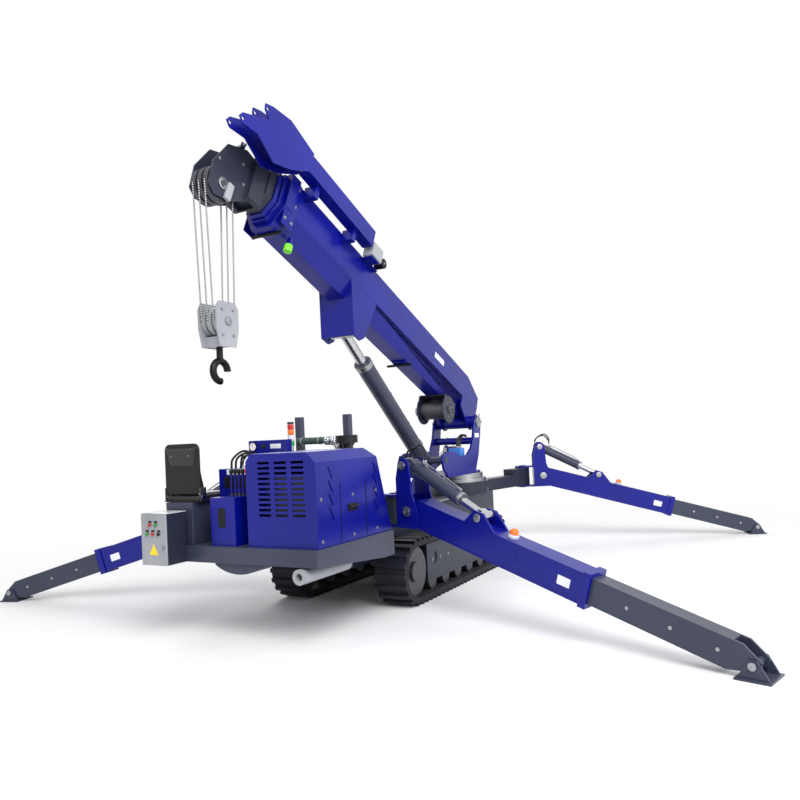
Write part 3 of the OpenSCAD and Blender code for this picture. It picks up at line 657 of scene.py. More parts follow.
class Stock:
    """Plates, bars, blocks and tubes gathered into one piece in a local frame."""

    def __init__(self, name: str, body: str, frame: Matrix = IDENTITY) -> None:
        """Start an empty piece.

        Args:
            name: the piece's name.
            body: the CAD body that it rides on.
            frame: the local frame in the rest frame.
        """
        self.name, self.body, self.frame = name, body, frame
        self.points: list[Point] = []
        self.faces: list[list[int]] = []
        self.slots: list[int] = []
        self.finishes: list[Finish] = []
        self.index = 0

    def of(self, finish: Finish) -> "Stock":
        """Go on in another finish.

        Args:
            finish: the finish of what is added from here on.

        Returns:
            The piece itself.
        """
        if finish not in self.finishes:
            self.finishes.append(finish)
        self.index = self.finishes.index(finish)
        return self

    def take(self, shape: bmesh.types.BMesh, place: Matrix = IDENTITY, round_by: float = 0.0) -> "Stock":
        """Round a shape's sharp edges and add it.

        Args:
            shape: the shape, freed afterwards.
            place: where it goes in the local frame.
            round_by: radius of its edges, or 0.
        """
        if round_by:
            sharp = [e for e in shape.edges if len(e.link_faces) == 2 and e.calc_face_angle(0.0) > 0.6]
            bmesh.ops.bevel(shape, geom=sharp, offset=round_by, segments=2, profile=0.6, affect="EDGES",
                            clamp_overlap=True)
        base = len(self.points)
        shape.verts.index_update()
        self.points.extend((place @ v.co)[:] for v in shape.verts)
        self.faces.extend([v.index + base for v in f.verts] for f in shape.faces)
        self.slots.extend([self.index] * len(shape.faces))
        shape.free()
        return self

    def block(self, low: Point, high: Point, round_by: float = 0.003, place: Matrix = IDENTITY) -> "Stock":
        """Add a box between two corners.

        Args:
            low: its lowest corner.
            high: its highest corner.
            round_by: radius of its edges.
            place: its frame in the local frame.

        Returns:
            The piece itself.
        """
        shape = bmesh.new()
        size = Vector(high) - Vector(low)
        bmesh.ops.create_cube(shape, size=1.0, matrix=Matrix.Translation((Vector(high) + Vector(low)) / 2)
                              @ Matrix.Diagonal((*size, 1.0)))
        return self.take(shape, place, round_by)

    def bar(self, a: Point, b: Point, radius: float, sides: int = 24, round_by: float = 0.002,
            end_radius: float | None = None) -> "Stock":
        """Add a round bar, or a cone, from a to b.

        Args:
            a: middle of its first end.
            b: middle of its last end.
            radius: radius at a.
            sides: facets round it.
            round_by: radius of the rims.
            end_radius: radius at b, where it differs.
        """
        start, way = Vector(a), Vector(b) - Vector(a)
        shape = bmesh.new()
        bmesh.ops.create_cone(shape, cap_ends=True, segments=sides, radius1=radius,
                              radius2=radius if end_radius is None else end_radius, depth=way.length)
        place = (Matrix.Translation(start + way / 2) @ way.to_track_quat("Z", "Y").to_matrix().to_4x4())
        return self.take(shape, place, round_by)

    def lathe(self, profile: Outline, place: Matrix = IDENTITY, sides: int = 32) -> "Stock":
        """Add a turned shape.

        Args:
            profile: radius and height along its axis, from one end to the other.
            place: the local frame, turned about its z.
            sides: facets round it.
        """
        shape = bmesh.new()
        rings = []
        for radius, height in profile:
            rings.append([shape.verts.new((radius * math.cos(2 * math.pi * i / sides),
                                           radius * math.sin(2 * math.pi * i / sides), height))
                          for i in range(sides)])
        for low, high in zip(rings, rings[1:]):
            for i in range(sides):
                j = (i + 1) % sides
                shape.faces.new((low[i], low[j], high[j], high[i]))
        shape.faces.new(rings[0][::-1])
        shape.faces.new(rings[-1])
        bmesh.ops.remove_doubles(shape, verts=shape.verts, dist=1e-6)
        bmesh.ops.recalc_face_normals(shape, faces=shape.faces)
        return self.take(shape, place)

    def plate(self, outline: Outline, low: float, high: float, plane: str = "xz",
              holes: Sequence[Outline] = (), edge: float = 0.002, place: Matrix = IDENTITY) -> "Stock":
        """Add a flat plate with holes and eased edges.

        Args:
            outline: its outline in the plane.
            low: where it starts across the plane.
            high: where it ends.
            plane: "xz", "xy" or "yz".
            holes: outlines of its holes.
            edge: width of its chamfers.
            place: its frame in the local frame.
        """
        put = PLANES[plane]
        loops = [list(outline) if signed_area(outline) > 0 else list(outline)[::-1]]
        loops += [list(h) if signed_area(h) < 0 else list(h)[::-1] for h in holes]
        shape = bmesh.new()
        eased = [inset(loop, edge) for loop in loops]
        levels = [(eased, low), (loops, low + edge), (loops, high - edge), (eased, high)]
        rings = [[[shape.verts.new(put(u, v, t)) for u, v in loop] for loop in group] for group, t in levels]
        flat = [[Vector((u, v, 0.0)) for u, v in loop] for loop in eased]
        for triangle in tessellate_polygon(flat):
            for ring, turn in ((rings[0], 1), (rings[3], -1)):
                verts = [v for loop in ring for v in loop]
                shape.faces.new([verts[i] for i in triangle][::turn])
        for below, over in zip(rings, rings[1:]):
            for a, b in zip(below, over):
                for i, corner in enumerate(a):
                    j = (i + 1) % len(a)
                    shape.faces.new((corner, a[j], b[j], b[i]))
        bmesh.ops.recalc_face_normals(shape, faces=shape.faces)
        bmesh.ops.dissolve_limit(shape, angle_limit=0.01, verts=shape.verts, edges=shape.edges)
        return self.take(shape, place)

    def tube(self, points: Sequence[Point], radius: float, sides: int = 10, steps: int = 8) -> "Stock":
        """Add a hose or bent pipe through points.

        Args:
            points: what its middle passes through.
            radius: its radius.
            sides: facets round it.
            steps: rings for each stretch; 1 keeps straight stretches.
        """
        line = spline(points, steps) if steps > 1 else [Vector(p) for p in points]
        shape = bmesh.new()
        rings = []
        ahead = (line[1] - line[0]).normalized()
        across = ahead.orthogonal().normalized()
        for i, middle in enumerate(line):
            way = (line[min(i + 1, len(line) - 1)] - line[max(i - 1, 0)]).normalized()
            across = (across - way * across.dot(way)).normalized()
            up = way.cross(across)
            rings.append([shape.verts.new(middle + radius * (across * math.cos(2 * math.pi * k / sides)
                                                              + up * math.sin(2 * math.pi * k / sides)))
                          for k in range(sides)])
        for low, high in zip(rings, rings[1:]):
            for i in range(sides):
                j = (i + 1) % sides
                shape.faces.new((low[i], low[j], high[j], high[i]))
        shape.faces.new(rings[0][::-1])
        shape.faces.new(rings[-1])
        return self.take(shape)

    def bolt(self, at: Point, axis: Point, radius: float = 0.012, tall: float = 0.009) -> "Stock":
        """Add a hexagon head on its washer.

        Args:
            at: middle of its seat.
            axis: the way it looks.
            radius: radius over its corners.
            tall: how far it stands out.

        Returns:
            The piece itself.
        """
        out = Vector(axis).normalized()
        start = Vector(at)
        self.bar(start, start + out * tall * 0.25, radius * 1.35, 16, 0.0)
        return self.bar(start, start + out * tall, radius, 6, radius * 0.12)

    def finish(self, sharp: float = 35.0) -> bpy.types.Object:
        """Make the object and set it on its body.

        Args:
            sharp: edges over this angle in degrees stay sharp.

        Returns:
            The piece.
        """
        mesh = bpy.data.meshes.new(self.name)
        mesh.from_pydata(self.points, [], self.faces)
        mesh.transform(self.frame)
        for made in self.finishes:
            mesh.materials.append(made.material())
        mesh.polygons.foreach_set("material_index", self.slots)
        mesh.shade_smooth()
        mesh.set_sharp_from_angle(angle=math.radians(sharp))
        mesh.validate()
        piece = bpy.data.objects.new(self.name, mesh)
        bpy.context.scene.collection.objects.link(piece)
        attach(piece, self.body)
        LOG.info("made %s: %d faces", self.name, len(mesh.polygons))
        return piece


def soften(node: bpy.types.Object, width: float, finish: Finish, segments: int = 2) -> bpy.types.Object:
    """Stand in for a CAD node with the same shape and rounded edges.

    Args:
        node: the CAD node.
        width: radius of its edges in metres.
        finish: its finish.
        segments: facets across a rounded edge.

    Returns:
        The piece that shows instead of the node.
    """
    shape = bmesh.new()
    shape.from_mesh(node.data)
    bmesh.ops.remove_doubles(shape, verts=shape.verts, dist=2e-5)
    bmesh.ops.dissolve_limit(shape, angle_limit=math.radians(0.6), verts=shape.verts, edges=shape.edges)
    sharp = [e for e in shape.edges if len(e.link_faces) == 2 and e.calc_face_angle(0.0) > math.radians(28)]
    bmesh.ops.bevel(shape, geom=sharp, offset=width, segments=segments, profile=0.6, affect="EDGES",
                    clamp_overlap=True)
    mesh = bpy.data.meshes.new(node.name + "_form")
    shape.to_mesh(mesh)
    shape.free()
    mesh.materials.append(finish.material())
    mesh.shade_smooth()
    mesh.set_sharp_from_angle(angle=math.radians(40))
    piece = bpy.data.objects.new(node.name + "_form", mesh)
    bpy.context.scene.collection.objects.link(piece)
    weigh = piece.modifiers.new("even_shading", "WEIGHTED_NORMAL")
    weigh.keep_sharp = True
    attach(piece, node["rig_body"])
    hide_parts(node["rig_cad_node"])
    LOG.info("softened %s by %.1f mm", node.name, width * 1000)
    return piece


def axes(origin: Point, along: Point, up: Point) -> Matrix:
    """Frame with x along a direction and z near another.

    Args:
        origin: the frame's origin.
        along: its x.
        up: what z leans to.

    Returns:
        The frame in the rest frame.
    """
    x = Vector(along).normalized()
    y = Vector(up).cross(x).normalized()
    z = x.cross(y)
    return Matrix.Translation(Vector(origin)) @ Matrix((x, y, z)).transposed().to_4x4()


class Pivots:
    """Places and axes of the frame's joints."""

    def __init__(self, joints: Sequence[dict]) -> None:
        """Read the joints by name.

        Args:
            joints: the frame's joints.
        """
        self.joints = {j["name"]: j for j in joints}

    def at(self, name: str) -> Vector:
        """Point of a hinge's axis.

        Args:
            name: the joint.

        Returns:
            The point in the rest frame.
        """
        return Vector(self.joints[name]["pos_m"])

    def axis(self, name: str) -> Vector:
        """Direction of a joint.

        Args:
            name: the joint.

        Returns:
            The direction, one long.
        """
        return Vector(self.joints[name]["axis"]).normalized()

    def boom(self) -> Matrix:
        """Frame on the boom's pivot, x along the boom, z out of its back."""
        return axes(self.at("luff"), self.axis("telescope"), (0, 0, 1))

    def luff(self) -> Matrix:
        """Frame on the luffing cylinder's lower pin, x along the cylinder."""
        return axes(self.at("luff_barrel_tilt"), self.axis("luff_rod_slide"), (0, 0, 1))

    def beam(self, leg: str) -> Matrix:
        """Frame on a leg's raise pin, x down along its beam.

        Args:
            leg: the leg's short name.

        Returns:
            The frame in the rest frame.
        """
        return axes(self.at("raise_" + leg), self.axis("extend_" + leg), (0, 0, 1))

    def cylinder(self, leg: str) -> Matrix:
        """Frame on a leg cylinder's top pin, x along the cylinder.

        Args:
            leg: the leg's short name.

        Returns:
            The frame in the rest frame.
        """
        return axes(self.at("cylinder_tilt_" + leg), self.axis("rod_slide_" + leg), (0, 0, 1))


SOFT_EDGES = {
    "boom_base": 0.006, "boom_section_2": 0.005, "boom_section_3": 0.005, "boom_section_4": 0.005, "column": 0.004,
    "engine_hood": 0.006, "rear_deck": 0.003, "fly_jib": 0.003, "hook_block": 0.004, "chassis_frame": 0.004,
    "track_frames": 0.003, "winch_frame": 0.003, "seat_base": 0.005, "lever_console": 0.006, "instrument_panel": 0.005,
    "cabinet_box": 0.004, "cabinet_door": 0.003, "boom_rest": 0.004, "valve_block": 0.003, "fuel_tank": 0.006}
LEG_EDGES = {"outer_beam": 0.006, "inner_beam": 0.005, "bracket": 0.003, "foot": 0.003}


@dataclass
class Wardrobe:
    """The finish of each CAD node that shows as it is."""

    nodes: dict[str, bpy.types.Object]
    finishes: dict[str, Finish] = field(default_factory=lambda: {
        "tracks": TRACK_RUBBER, "track_frames": SLATE_DARK, "track_wheels": IRON, "chassis_frame": SLATE_DARK,
        "slew_ring": MACHINED, "rear_deck": SLATE, "engine_hood": BLUE, "engine_block": IRON, "fuel_tank": SLATE,
        "muffler": CAST, "boom_rest": SLATE, "air_intake": BLACK_PLASTIC, "signal_light": ZINC, "seat": VINYL,
        "seat_base": SLATE, "lever_console": BLUE, "instrument_panel": BLUE, "cabinet_box": SLATE_DARK,
        "cabinet_door": CAST, "hydraulic_pipes": ZINC, "column": BLUE, "valve_block": SKY_PAINT,
        "luff_barrel": SLATE, "luff_rod": CHROME, "boom_base": BLUE, "winch_frame": SLATE_DARK, "winch_drum": IRON,
        "fly_jib": BLUE, "boom_section_2": BLUE, "boom_section_3": BLUE, "boom_section_4": SLATE_DARK,
        "head_sheaves": IRON, "hoist_ropes": ROPE, "hook_block": CAST, "hook": BLACK_IRON})
    leg_finishes: dict[str, Finish] = field(default_factory=lambda: {
        "bracket": BLUE, "outer_beam": BLUE, "inner_beam": SLATE, "foot": SLATE, "leg_barrel": SLATE,
        "leg_rod": CHROME})

    def dress(self) -> None:
        """Give each node its finish."""
        for name, node in self.nodes.items():
            kind = name.rsplit("_", 1)[0]
            finish = self.finishes.get(name) or self.leg_finishes[kind]
            node.data.materials.clear()
            node.data.materials.append(finish.material())
            width = SOFT_EDGES.get(name) or LEG_EDGES.get(kind)
            if width:
                soften(node, width, finish)
            LOG.info("dressed %s in %s", name, finish.name)


@dataclass
class Assembly:
    """A group of fittings that ride on the frame's bodies."""

    nodes: dict[str, bpy.types.Object]
    pivots: Pivots

    def stock(self, name: str, node: str, frame: Matrix = IDENTITY) -> Stock:
        """Start a piece on a node's body.

        Args:
            name: the piece's name.
            node: the CAD node whose body carries it.
            frame: its local frame.

        Returns:
            The empty piece.
        """
        return Stock(name, self.nodes[node]["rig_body"], frame)

    def box(self, node: str) -> tuple[Vector, Vector]:
        """Box of a node as it stands.

        Args:
            node: the CAD node.

        Returns:
            Its lowest corner and its middle.
        """
        shape = self.nodes[node]
        corners = [shape.matrix_world @ Vector(c) for c in shape.bound_box]
        low = Vector((min(c.x for c in corners), min(c.y for c in corners), min(c.z for c in corners)))
        return low, sum(corners, Vector()) / len(corners)

    def cap(self, piece: Stock, at: Point, side: int, radius: float, tall: float = 0.009) -> None:
        """Add a pin's end disc with its keeper bolts.

        Args:
            piece: what it is added to.
            at: middle of the pin's end in the piece's frame.
            side: 1 or -1, the way it looks along y.
            radius: the disc's radius.
            tall: its thickness.
        """
        x, y, z = at
        piece.of(ZINC).bar((x, y, z), (x, y + side * tall, z), radius, 28)
        for turn in (0.6, 0.6 + math.pi):
            spot = (x + 0.55 * radius * math.cos(turn), y + side * tall, z + 0.55 * radius * math.sin(turn))
            piece.of(ZINC).bolt(spot, (0, side, 0), 0.2 * radius, 0.006)


@dataclass
class Legs(Assembly):
    """Fittings of the four outrigger legs."""

    names: tuple[str, ...] = ("rr", "rl", "fr", "fl")
    pin_end: float = 0.138
    tilt_gap: float = 0.0006
    beam_face: float = 0.0995
    beam_top: float = 0.1195
    rod_eye: tuple[float, float] = (0.742, 0.192)
    rod_pin_end: float = 0.1082
    foot_pin_end: float = 0.108
    inner_face: float = 0.0775
    rivet_places: tuple[float, ...] = (2.12, 2.44, 2.76)

    def bracket(self, leg: str) -> None:
        """Pin caps of a leg's bracket.

        Args:
            leg: the leg's short name.
        """
        piece = self.stock("bracket_pins_" + leg, "bracket_" + leg, self.pivots.beam(leg))
        for side in (1, -1):
            self.cap(piece, (0.0, side * self.pin_end, 0.0), side, 0.045)
        piece.finish()
        piece = self.stock("cylinder_pins_" + leg, "bracket_" + leg, self.pivots.cylinder(leg))
        for side in (1, -1):
            self.cap(piece, (0.0, side * (self.pin_end + self.tilt_gap), 0.0), side, 0.038)
        piece.finish()

    def beam(self, leg: str) -> None:
        """Embossed rings, flange lines, rod pin caps, label and beacon of an outer beam.

        Args:
            leg: the leg's short name.
        """
        piece = self.stock("beam_fittings_" + leg, "outer_beam_" + leg, self.pivots.beam(leg))
        for side in (1, -1):
            low, high = sorted((side * self.beam_face, side * 0.103))
            for level in (-0.119, 0.101):
                piece.of(BLUE).block((0.35, low, level), (1.80, high, level + 0.018), 0.001)
            ring = arc((1.22, 0.0), 0.075, 90, 270, 14) + arc((1.22, 0.0), 0.056, 270, 90, 14)
            piece.of(BLUE).plate(ring, low, high, "xz", edge=0.001)
            piece.of(LABEL).plate(rounded((1.56, -0.04), (1.67, 0.03), 0.006),
                                  *sorted((side * self.beam_face, side * 0.1012)), edge=0.0004)
            self.cap(piece, (self.rod_eye[0], side * self.rod_pin_end, self.rod_eye[1]), side, 0.036, 0.007)
            piece.of(ZINC).bolt((1.79, side * 0.103, 0.06), (0, side, 0), 0.01)
            piece.of(ZINC).bolt((1.79, side * 0.103, -0.06), (0, side, 0), 0.01)
        seat = Matrix.Translation((1.05, 0.0, self.beam_top))
        piece.of(PALE_PAINT).lathe([(0.046, 0.0), (0.046, 0.018), (0.04, 0.022), (0.04, 0.03)], seat)
        piece.of(BEACON).lathe([(0.037, 0.03), (0.037, 0.048), (0.031, 0.062), (0.018, 0.071), (0.001, 0.074)], seat)
        piece.finish()

    def inner(self, leg: str) -> None:
        """Rivets of an inner beam.

        Args:
            leg: the leg's short name.
        """
        piece = self.stock("inner_rivets_" + leg, "inner_beam_" + leg, self.pivots.beam(leg))
        for x in self.rivet_places:
            for side in (1, -1):
                piece.of(ZINC).bar((x, side * self.inner_face, 0.0), (x, side * 0.083, 0.0), 0.014, 20)
        piece.finish()

    def cylinder(self, leg: str) -> None:
        """Gland, port blocks, steel line and hose loops of a leg's cylinder.

        Args:
            leg: the leg's short name.
        """
        piece = self.stock("cylinder_fittings_" + leg, "leg_barrel_" + leg, self.pivots.cylinder(leg))
        piece.of(MACHINED).bar((0.606, 0, 0), (0.6395, 0, 0), 0.0615, 32)
        piece.of(ZINC).block((0.10, -0.022, 0.054), (0.16, 0.022, 0.085), 0.003)
        piece.of(ZINC).block((0.55, -0.016, 0.054), (0.59, 0.016, 0.078), 0.003)
        piece.of(ZINC).tube([(0.13, 0.0, 0.082), (0.20, 0.0, 0.086), (0.45, 0.0, 0.080), (0.57, 0.0, 0.075)], 0.007)
        for y, rise in ((0.014, 0.17), (-0.014, 0.145)):
            piece.of(ZINC).bar((0.125, y, 0.080), (0.112, y, 0.104), 0.011, 6, 0.001)
            piece.of(HOSE).tube([(0.114, y, 0.100), (0.07, y, rise), (-0.01, y * 1.4, rise + 0.022),
                                 (-0.075, y * 1.8, 0.11), (-0.085, y * 2, 0.03)], 0.0085, 10)
        piece.finish()

    def foot(self, leg: str) -> None:
        """Pin caps of a foot.

        Args:
            leg: the leg's short name.
        """
        out = self.pivots.axis("extend_" + leg)
        pin = self.pivots.at("pad_tilt_" + leg)
        piece = self.stock("foot_pins_" + leg, "foot_" + leg, axes(pin, (out.x, out.y, 0.0), (0, 0, 1)))
        for side in (1, -1):
            self.cap(piece, (0.0, side * self.foot_pin_end, 0.0), side, 0.026, 0.006)
        piece.finish()

    def build(self) -> None:
        """Fit all four legs."""
        for leg in self.names:
            self.bracket(leg)
            self.beam(leg)
            self.inner(leg)
            self.cylinder(leg)
            self.foot(leg)


@dataclass
class Carrier(Assembly):
    """Track guards, hood trim, the post's pipes and the signal tower."""

    guard_bolts: tuple[float, ...] = (-1.30, -1.12, -0.94, -0.42, -0.24, -0.06)
    guard_face: float = 0.712
    hood_side: float = -0.78
    pipe_x: float = -2.104
    pipe_z: float = 1.592
    lens_tall: float = 0.044

    def guards(self) -> None:
        """Bolts of the track guards."""
        piece = self.stock("guard_bolts", "track_frames")
        for side in (1, -1):
            for x in self.guard_bolts:
                piece.of(ZINC).bolt((x, side * self.guard_face, 0.36), (0, side, 0), 0.012)
        piece.finish()

    def hood(self) -> None:
        """Bolts, handle and seams of the engine hood."""
        piece = self.stock("hood_trim", "engine_hood")
        side = self.hood_side
        for x in (-3.22, -2.78, -2.42):
            for z in (0.83, 1.15):
                piece.of(ZINC).bolt((x, side, z), (0, -1, 0), 0.011, 0.007)
        piece.of(BLACK_PLASTIC).block((-2.86, side - 0.006, 1.02), (-2.72, side + 0.001, 1.08), 0.004)
        piece.of(BLACK_PLASTIC).tube([(-2.85, side - 0.006, 1.06), (-2.84, side - 0.03, 1.06),
                                      (-2.74, side - 0.03, 1.06), (-2.73, side - 0.006, 1.06)], 0.007, 8, 4)
        for x in (-2.96, -2.58):
            piece.of(BLACK_PLASTIC).block((x, side - 0.0035, 0.80), (x + 0.006, side + 0.001, 1.26), 0.001)
        piece.finish()

    def pipes(self) -> None:
        """Green pipe, foil elbow and clamps at the boom's rest."""
        piece = self.stock("rest_pipes", "boom_rest")
        back, high = self.pipe_x, self.pipe_z
        piece.of(PRIMER).tube([(back, 0.26, high), (back, 0.05, high), (back, -0.08, high)], 0.034, 20, 1)
        piece.of(FOIL).tube([(back, -0.075, high), (back, -0.13, high), (back, -0.19, high - 0.02),
                             (back, -0.225, high - 0.07)], 0.048, 20)
        piece.of(BLACK_PLASTIC).tube([(back, -0.235, high - 0.06), (back, -0.30, high - 0.01),
                                      (back, -0.37, high - 0.02)], 0.040, 18)
        for y in (0.20, 0.0):
            piece.of(ZINC).bar((back, y - 0.008, high), (back, y + 0.008, high), 0.039, 24)
        piece.finish()
        piece = self.stock("intake_cap", "air_intake", Matrix.Translation((-2.256, -0.400, 1.5595)))
        piece.of(AMBER_PAINT).lathe([(0.088, 0.0), (0.092, 0.006), (0.088, 0.018), (0.05, 0.03), (0.001, 0.034)])
        piece.finish()

    def tower(self) -> None:
        """Lens bands and foot of the signal tower."""
        piece = self.stock("tower_lenses", "signal_light")
        middle = self.box("signal_light")[1]
        x, y = middle.x, middle.y
        for lens, low in zip((GREEN_LENS, CLEAR_LENS, AMBER_LENS, RED_LENS), (1.560, 1.608, 1.656, 1.704)):
            piece.of(lens).bar((x, y, low), (x, y, low + self.lens_tall), 0.0285, 28)
        piece.of(BLACK_PLASTIC).bar((x, y, 1.752), (x, y, 1.768), 0.0295, 28)
        piece.of(ZINC).bar((x, y, 0.781), (x, y, 0.790), 0.05, 24)
        piece.finish()

    def build(self) -> None:
        """Fit the carrier."""
        self.guards()
        self.hood()
        self.pipes()
        self.tower()


@dataclass
class Station(Assembly):
    """The operator's seat, levers, gauges and switch cabinet."""

    puff_frames: int = 20
    voxel: float = 0.006
    swell_cap: float = 0.014

    def cushion(self, name: str, place: Matrix, size: Point, fill: float) -> bpy.types.Object:
        """A crowned cushion, blown up by a short cloth simulation.

        Args:
            name: the piece's name.
            place: frame on the middle of its underside, z out of the pad.
            size: width, depth and thickness.
            fill: how full it is, 0 to 1; not used.

        Returns:
            The cushion.
        """
        shape = bmesh.new()
        bmesh.ops.create_cube(shape, size=1.0)
        bmesh.ops.subdivide_edges(shape, edges=shape.edges, cuts=11, use_grid_fill=True)
        for v in shape.verts:
            u, w = v.co.x * 2, v.co.y * 2
            pull = 1 - 0.05 * (1 - abs(u) ** 3) * abs(w) ** 6 - 0.05 * (1 - abs(w) ** 3) * abs(u) ** 6
            crown = (1 - u ** 4) * (1 - w ** 4)
            groove = 0.14 * math.exp(-((abs(u) - 0.42) * 14) ** 2) * crown
            upper = v.co.z + 0.5
            v.co = Vector((v.co.x * size[0] * pull, v.co.y * size[1] * pull,
                           upper * size[2] * (0.70 + 0.28 * crown - groove)))
        edge = [e for e in shape.edges if e.calc_face_angle(0.0) > 0.7]
        bmesh.ops.bevel(shape, geom=edge, offset=min(size) * 0.16, segments=3, profile=0.6, affect="EDGES",
                        clamp_overlap=True)
        bmesh.ops.transform(shape, matrix=place, verts=shape.verts)
        mesh = bpy.data.meshes.new(name)
        shape.to_mesh(mesh)
        shape.free()
        mesh.materials.append(VINYL.material())
        mesh.shade_smooth()
        piece = bpy.data.objects.new(name, mesh)
        bpy.context.scene.collection.objects.link(piece)
        self.puff(piece)
        refine = piece.modifiers.new("smooth_skin", "SUBSURF")
        refine.levels = refine.render_levels = 1
        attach(piece, self.nodes["seat"]["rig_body"])
        return piece

    def puff(self, piece: bpy.types.Object) -> None:
        """Swell a cushion under inner pressure, its moves capped, and keep the result in its mesh.

        Args:
            piece: the cushion, before it rides on its body.
        """
        scene = bpy.context.scene
        even = piece.modifiers.new("even", "REMESH")
        even.mode = "VOXEL"
        even.voxel_size = self.voxel
        bpy.context.view_layer.update()
        made = bpy.data.meshes.new_from_object(piece.evaluated_get(bpy.context.evaluated_depsgraph_get()))
        piece.modifiers.clear()
        piece.data = made
        if not made.materials:
            made.materials.append(VINYL.material())
        rest = [v.co.copy() for v in made.vertices]
        cloth = piece.modifiers.new("cloth", "CLOTH")
        cloth.settings.use_pressure = True
        cloth.settings.uniform_pressure_force = 4.0
        cloth.settings.effector_weights.gravity = 0.0
        cloth.point_cache.frame_start = 1
        cloth.point_cache.frame_end = self.puff_frames
        for number in range(1, self.puff_frames + 1):
            scene.frame_set(number)
        swollen = piece.evaluated_get(bpy.context.evaluated_depsgraph_get()).data
        moved = [v.co.copy() for v in swollen.vertices]
        piece.modifiers.clear()
        for vertex, start, end in zip(made.vertices, rest, moved):
            step = end - start
            vertex.co = start + step * min(1.0, self.swell_cap / max(step.length, 1e-9))
        scene.frame_set(1)
        made.shade_smooth()

    def seat(self) -> None:
        """Cushions, shell, hinge bolts and lever of the seat."""
        base = Matrix.Translation((-3.048, 0.64, 1.136))
        pad = self.cushion("seat_cushion", base, (0.38, 0.39, 0.058), 0.7)
        lean = axes((-3.214, 0.64, 1.41), (0, 1, 0), (math.cos(math.radians(8)), 0, math.sin(math.radians(8))))
        back = self.cushion("seat_back_cushion", lean, (0.37, 0.40, 0.05), 0.7)
        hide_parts("seat")
        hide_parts("seat")
        shell = self.stock("seat_shell", "seat")
        shell.of(BLACK_PLASTIC).block((-3.255, 0.45, 1.1305), (-2.848, 0.83, 1.142), 0.004)
        shell.of(BLACK_PLASTIC).plate(rounded((-0.215, -0.20), (0.215, 0.20), 0.055), -0.016, 0.004, "xy", edge=0.006,
                                      place=axes((-3.216, 0.64, 1.408), (0, 0, 1), (1, 0, 0.14)))
        for z in (1.30, 1.52):
            for y in (0.54, 0.74):
                shell.of(ZINC).bar((-3.22 - 0.14 * (z - 1.408), y, z), (-3.236 - 0.14 * (z - 1.408), y, z), 0.006, 12)
        for side in (0.44, 0.84):
            shell.of(CHROME).bar((-3.20, side - 0.012, 1.17), (-3.20, side + 0.012, 1.17), 0.022, 24)
            shell.of(IRON).block((-3.235, side - 0.006, 1.135), (-3.165, side + 0.006, 1.25), 0.003)
        shell.of(BLACK_IRON).tube([(-2.87, 0.47, 1.128), (-2.83, 0.45, 1.12), (-2.79, 0.44, 1.15)], 0.007, 8)
        shell.finish()

    def console(self) -> None:
        """Knobs, blank strip and window of the lever console."""
        piece = self.stock("console_fittings", "lever_console")
        for i in range(5):
            y = 0.07 + 0.042 * i
            knob = Matrix.Translation((-3.071, y, 1.345))
            piece.of(RED_PAINT if i == 0 else BLACK_PLASTIC).lathe(
                [(0.009, 0.0), (0.015, 0.012), (0.017, 0.03), (0.013, 0.045), (0.001, 0.05)], knob, 20)
            piece.of(BLACK_PLASTIC).lathe([(0.018, 0.0), (0.016, 0.008), (0.011, 0.02)],
                                          Matrix.Translation((-3.071, y, 1.1695)), 20)
        window = rounded((0.132, 0.927), (0.209, 1.086), 0.008)
        piece.of(BLACK_PLASTIC).plate(window, -3.2785, -3.2755, "yz", edge=0.001)
        piece.of(LABEL).block((-3.0135, -0.05, 1.340), (-3.0105, 0.34, 1.385), 0.001)
        piece.of(BLACK_PLASTIC).block((-3.0135, -0.05, 1.225), (-3.0105, 0.37, 1.325), 0.001)
        for i, y in enumerate((0.36, 0.33, 0.29)):
            piece.of(HOSE).tube([(-2.93 + 0.02 * i, y, 1.385), (-2.92 + 0.02 * i, y - 0.01, 1.47),
                                 (-2.84, y - 0.06, 1.535 - 0.02 * i), (-2.735, y - 0.09, 1.50 - 0.03 * i)], 0.010, 10)
        piece.finish()

    def panel(self) -> None:
        """Round gauges and key switch of the instrument panel."""
        piece = self.stock("panel_gauges", "instrument_panel")
        face = self.box("instrument_panel")[0].x
        piece.of(BLACK_PLASTIC).block((face - 0.004, 0.135, 1.55), (face + 0.01, 0.185, 1.585), 0.002)
        piece.of(LABEL).block((face - 0.002, -0.03, 1.545), (face + 0.01, 0.085, 1.585), 0.001)
        for y, z in ((0.275, 1.566), (0.265, 1.475)):
            piece.of(BLACK_PLASTIC).bar((face + 0.01, y, z), (face - 0.010, y, z), 0.042, 32)
            piece.of(LABEL).bar((face - 0.008, y, z), (face - 0.0112, y, z), 0.034, 32, 0.0)
            piece.of(RED_PAINT).block((face - 0.0125, y - 0.002, z), (face - 0.0105, y + 0.002, z + 0.026), 0.0)
        piece.of(ZINC).bar((face + 0.01, 0.165, 1.45), (face - 0.012, 0.165, 1.45), 0.014, 20)
        piece.finish()

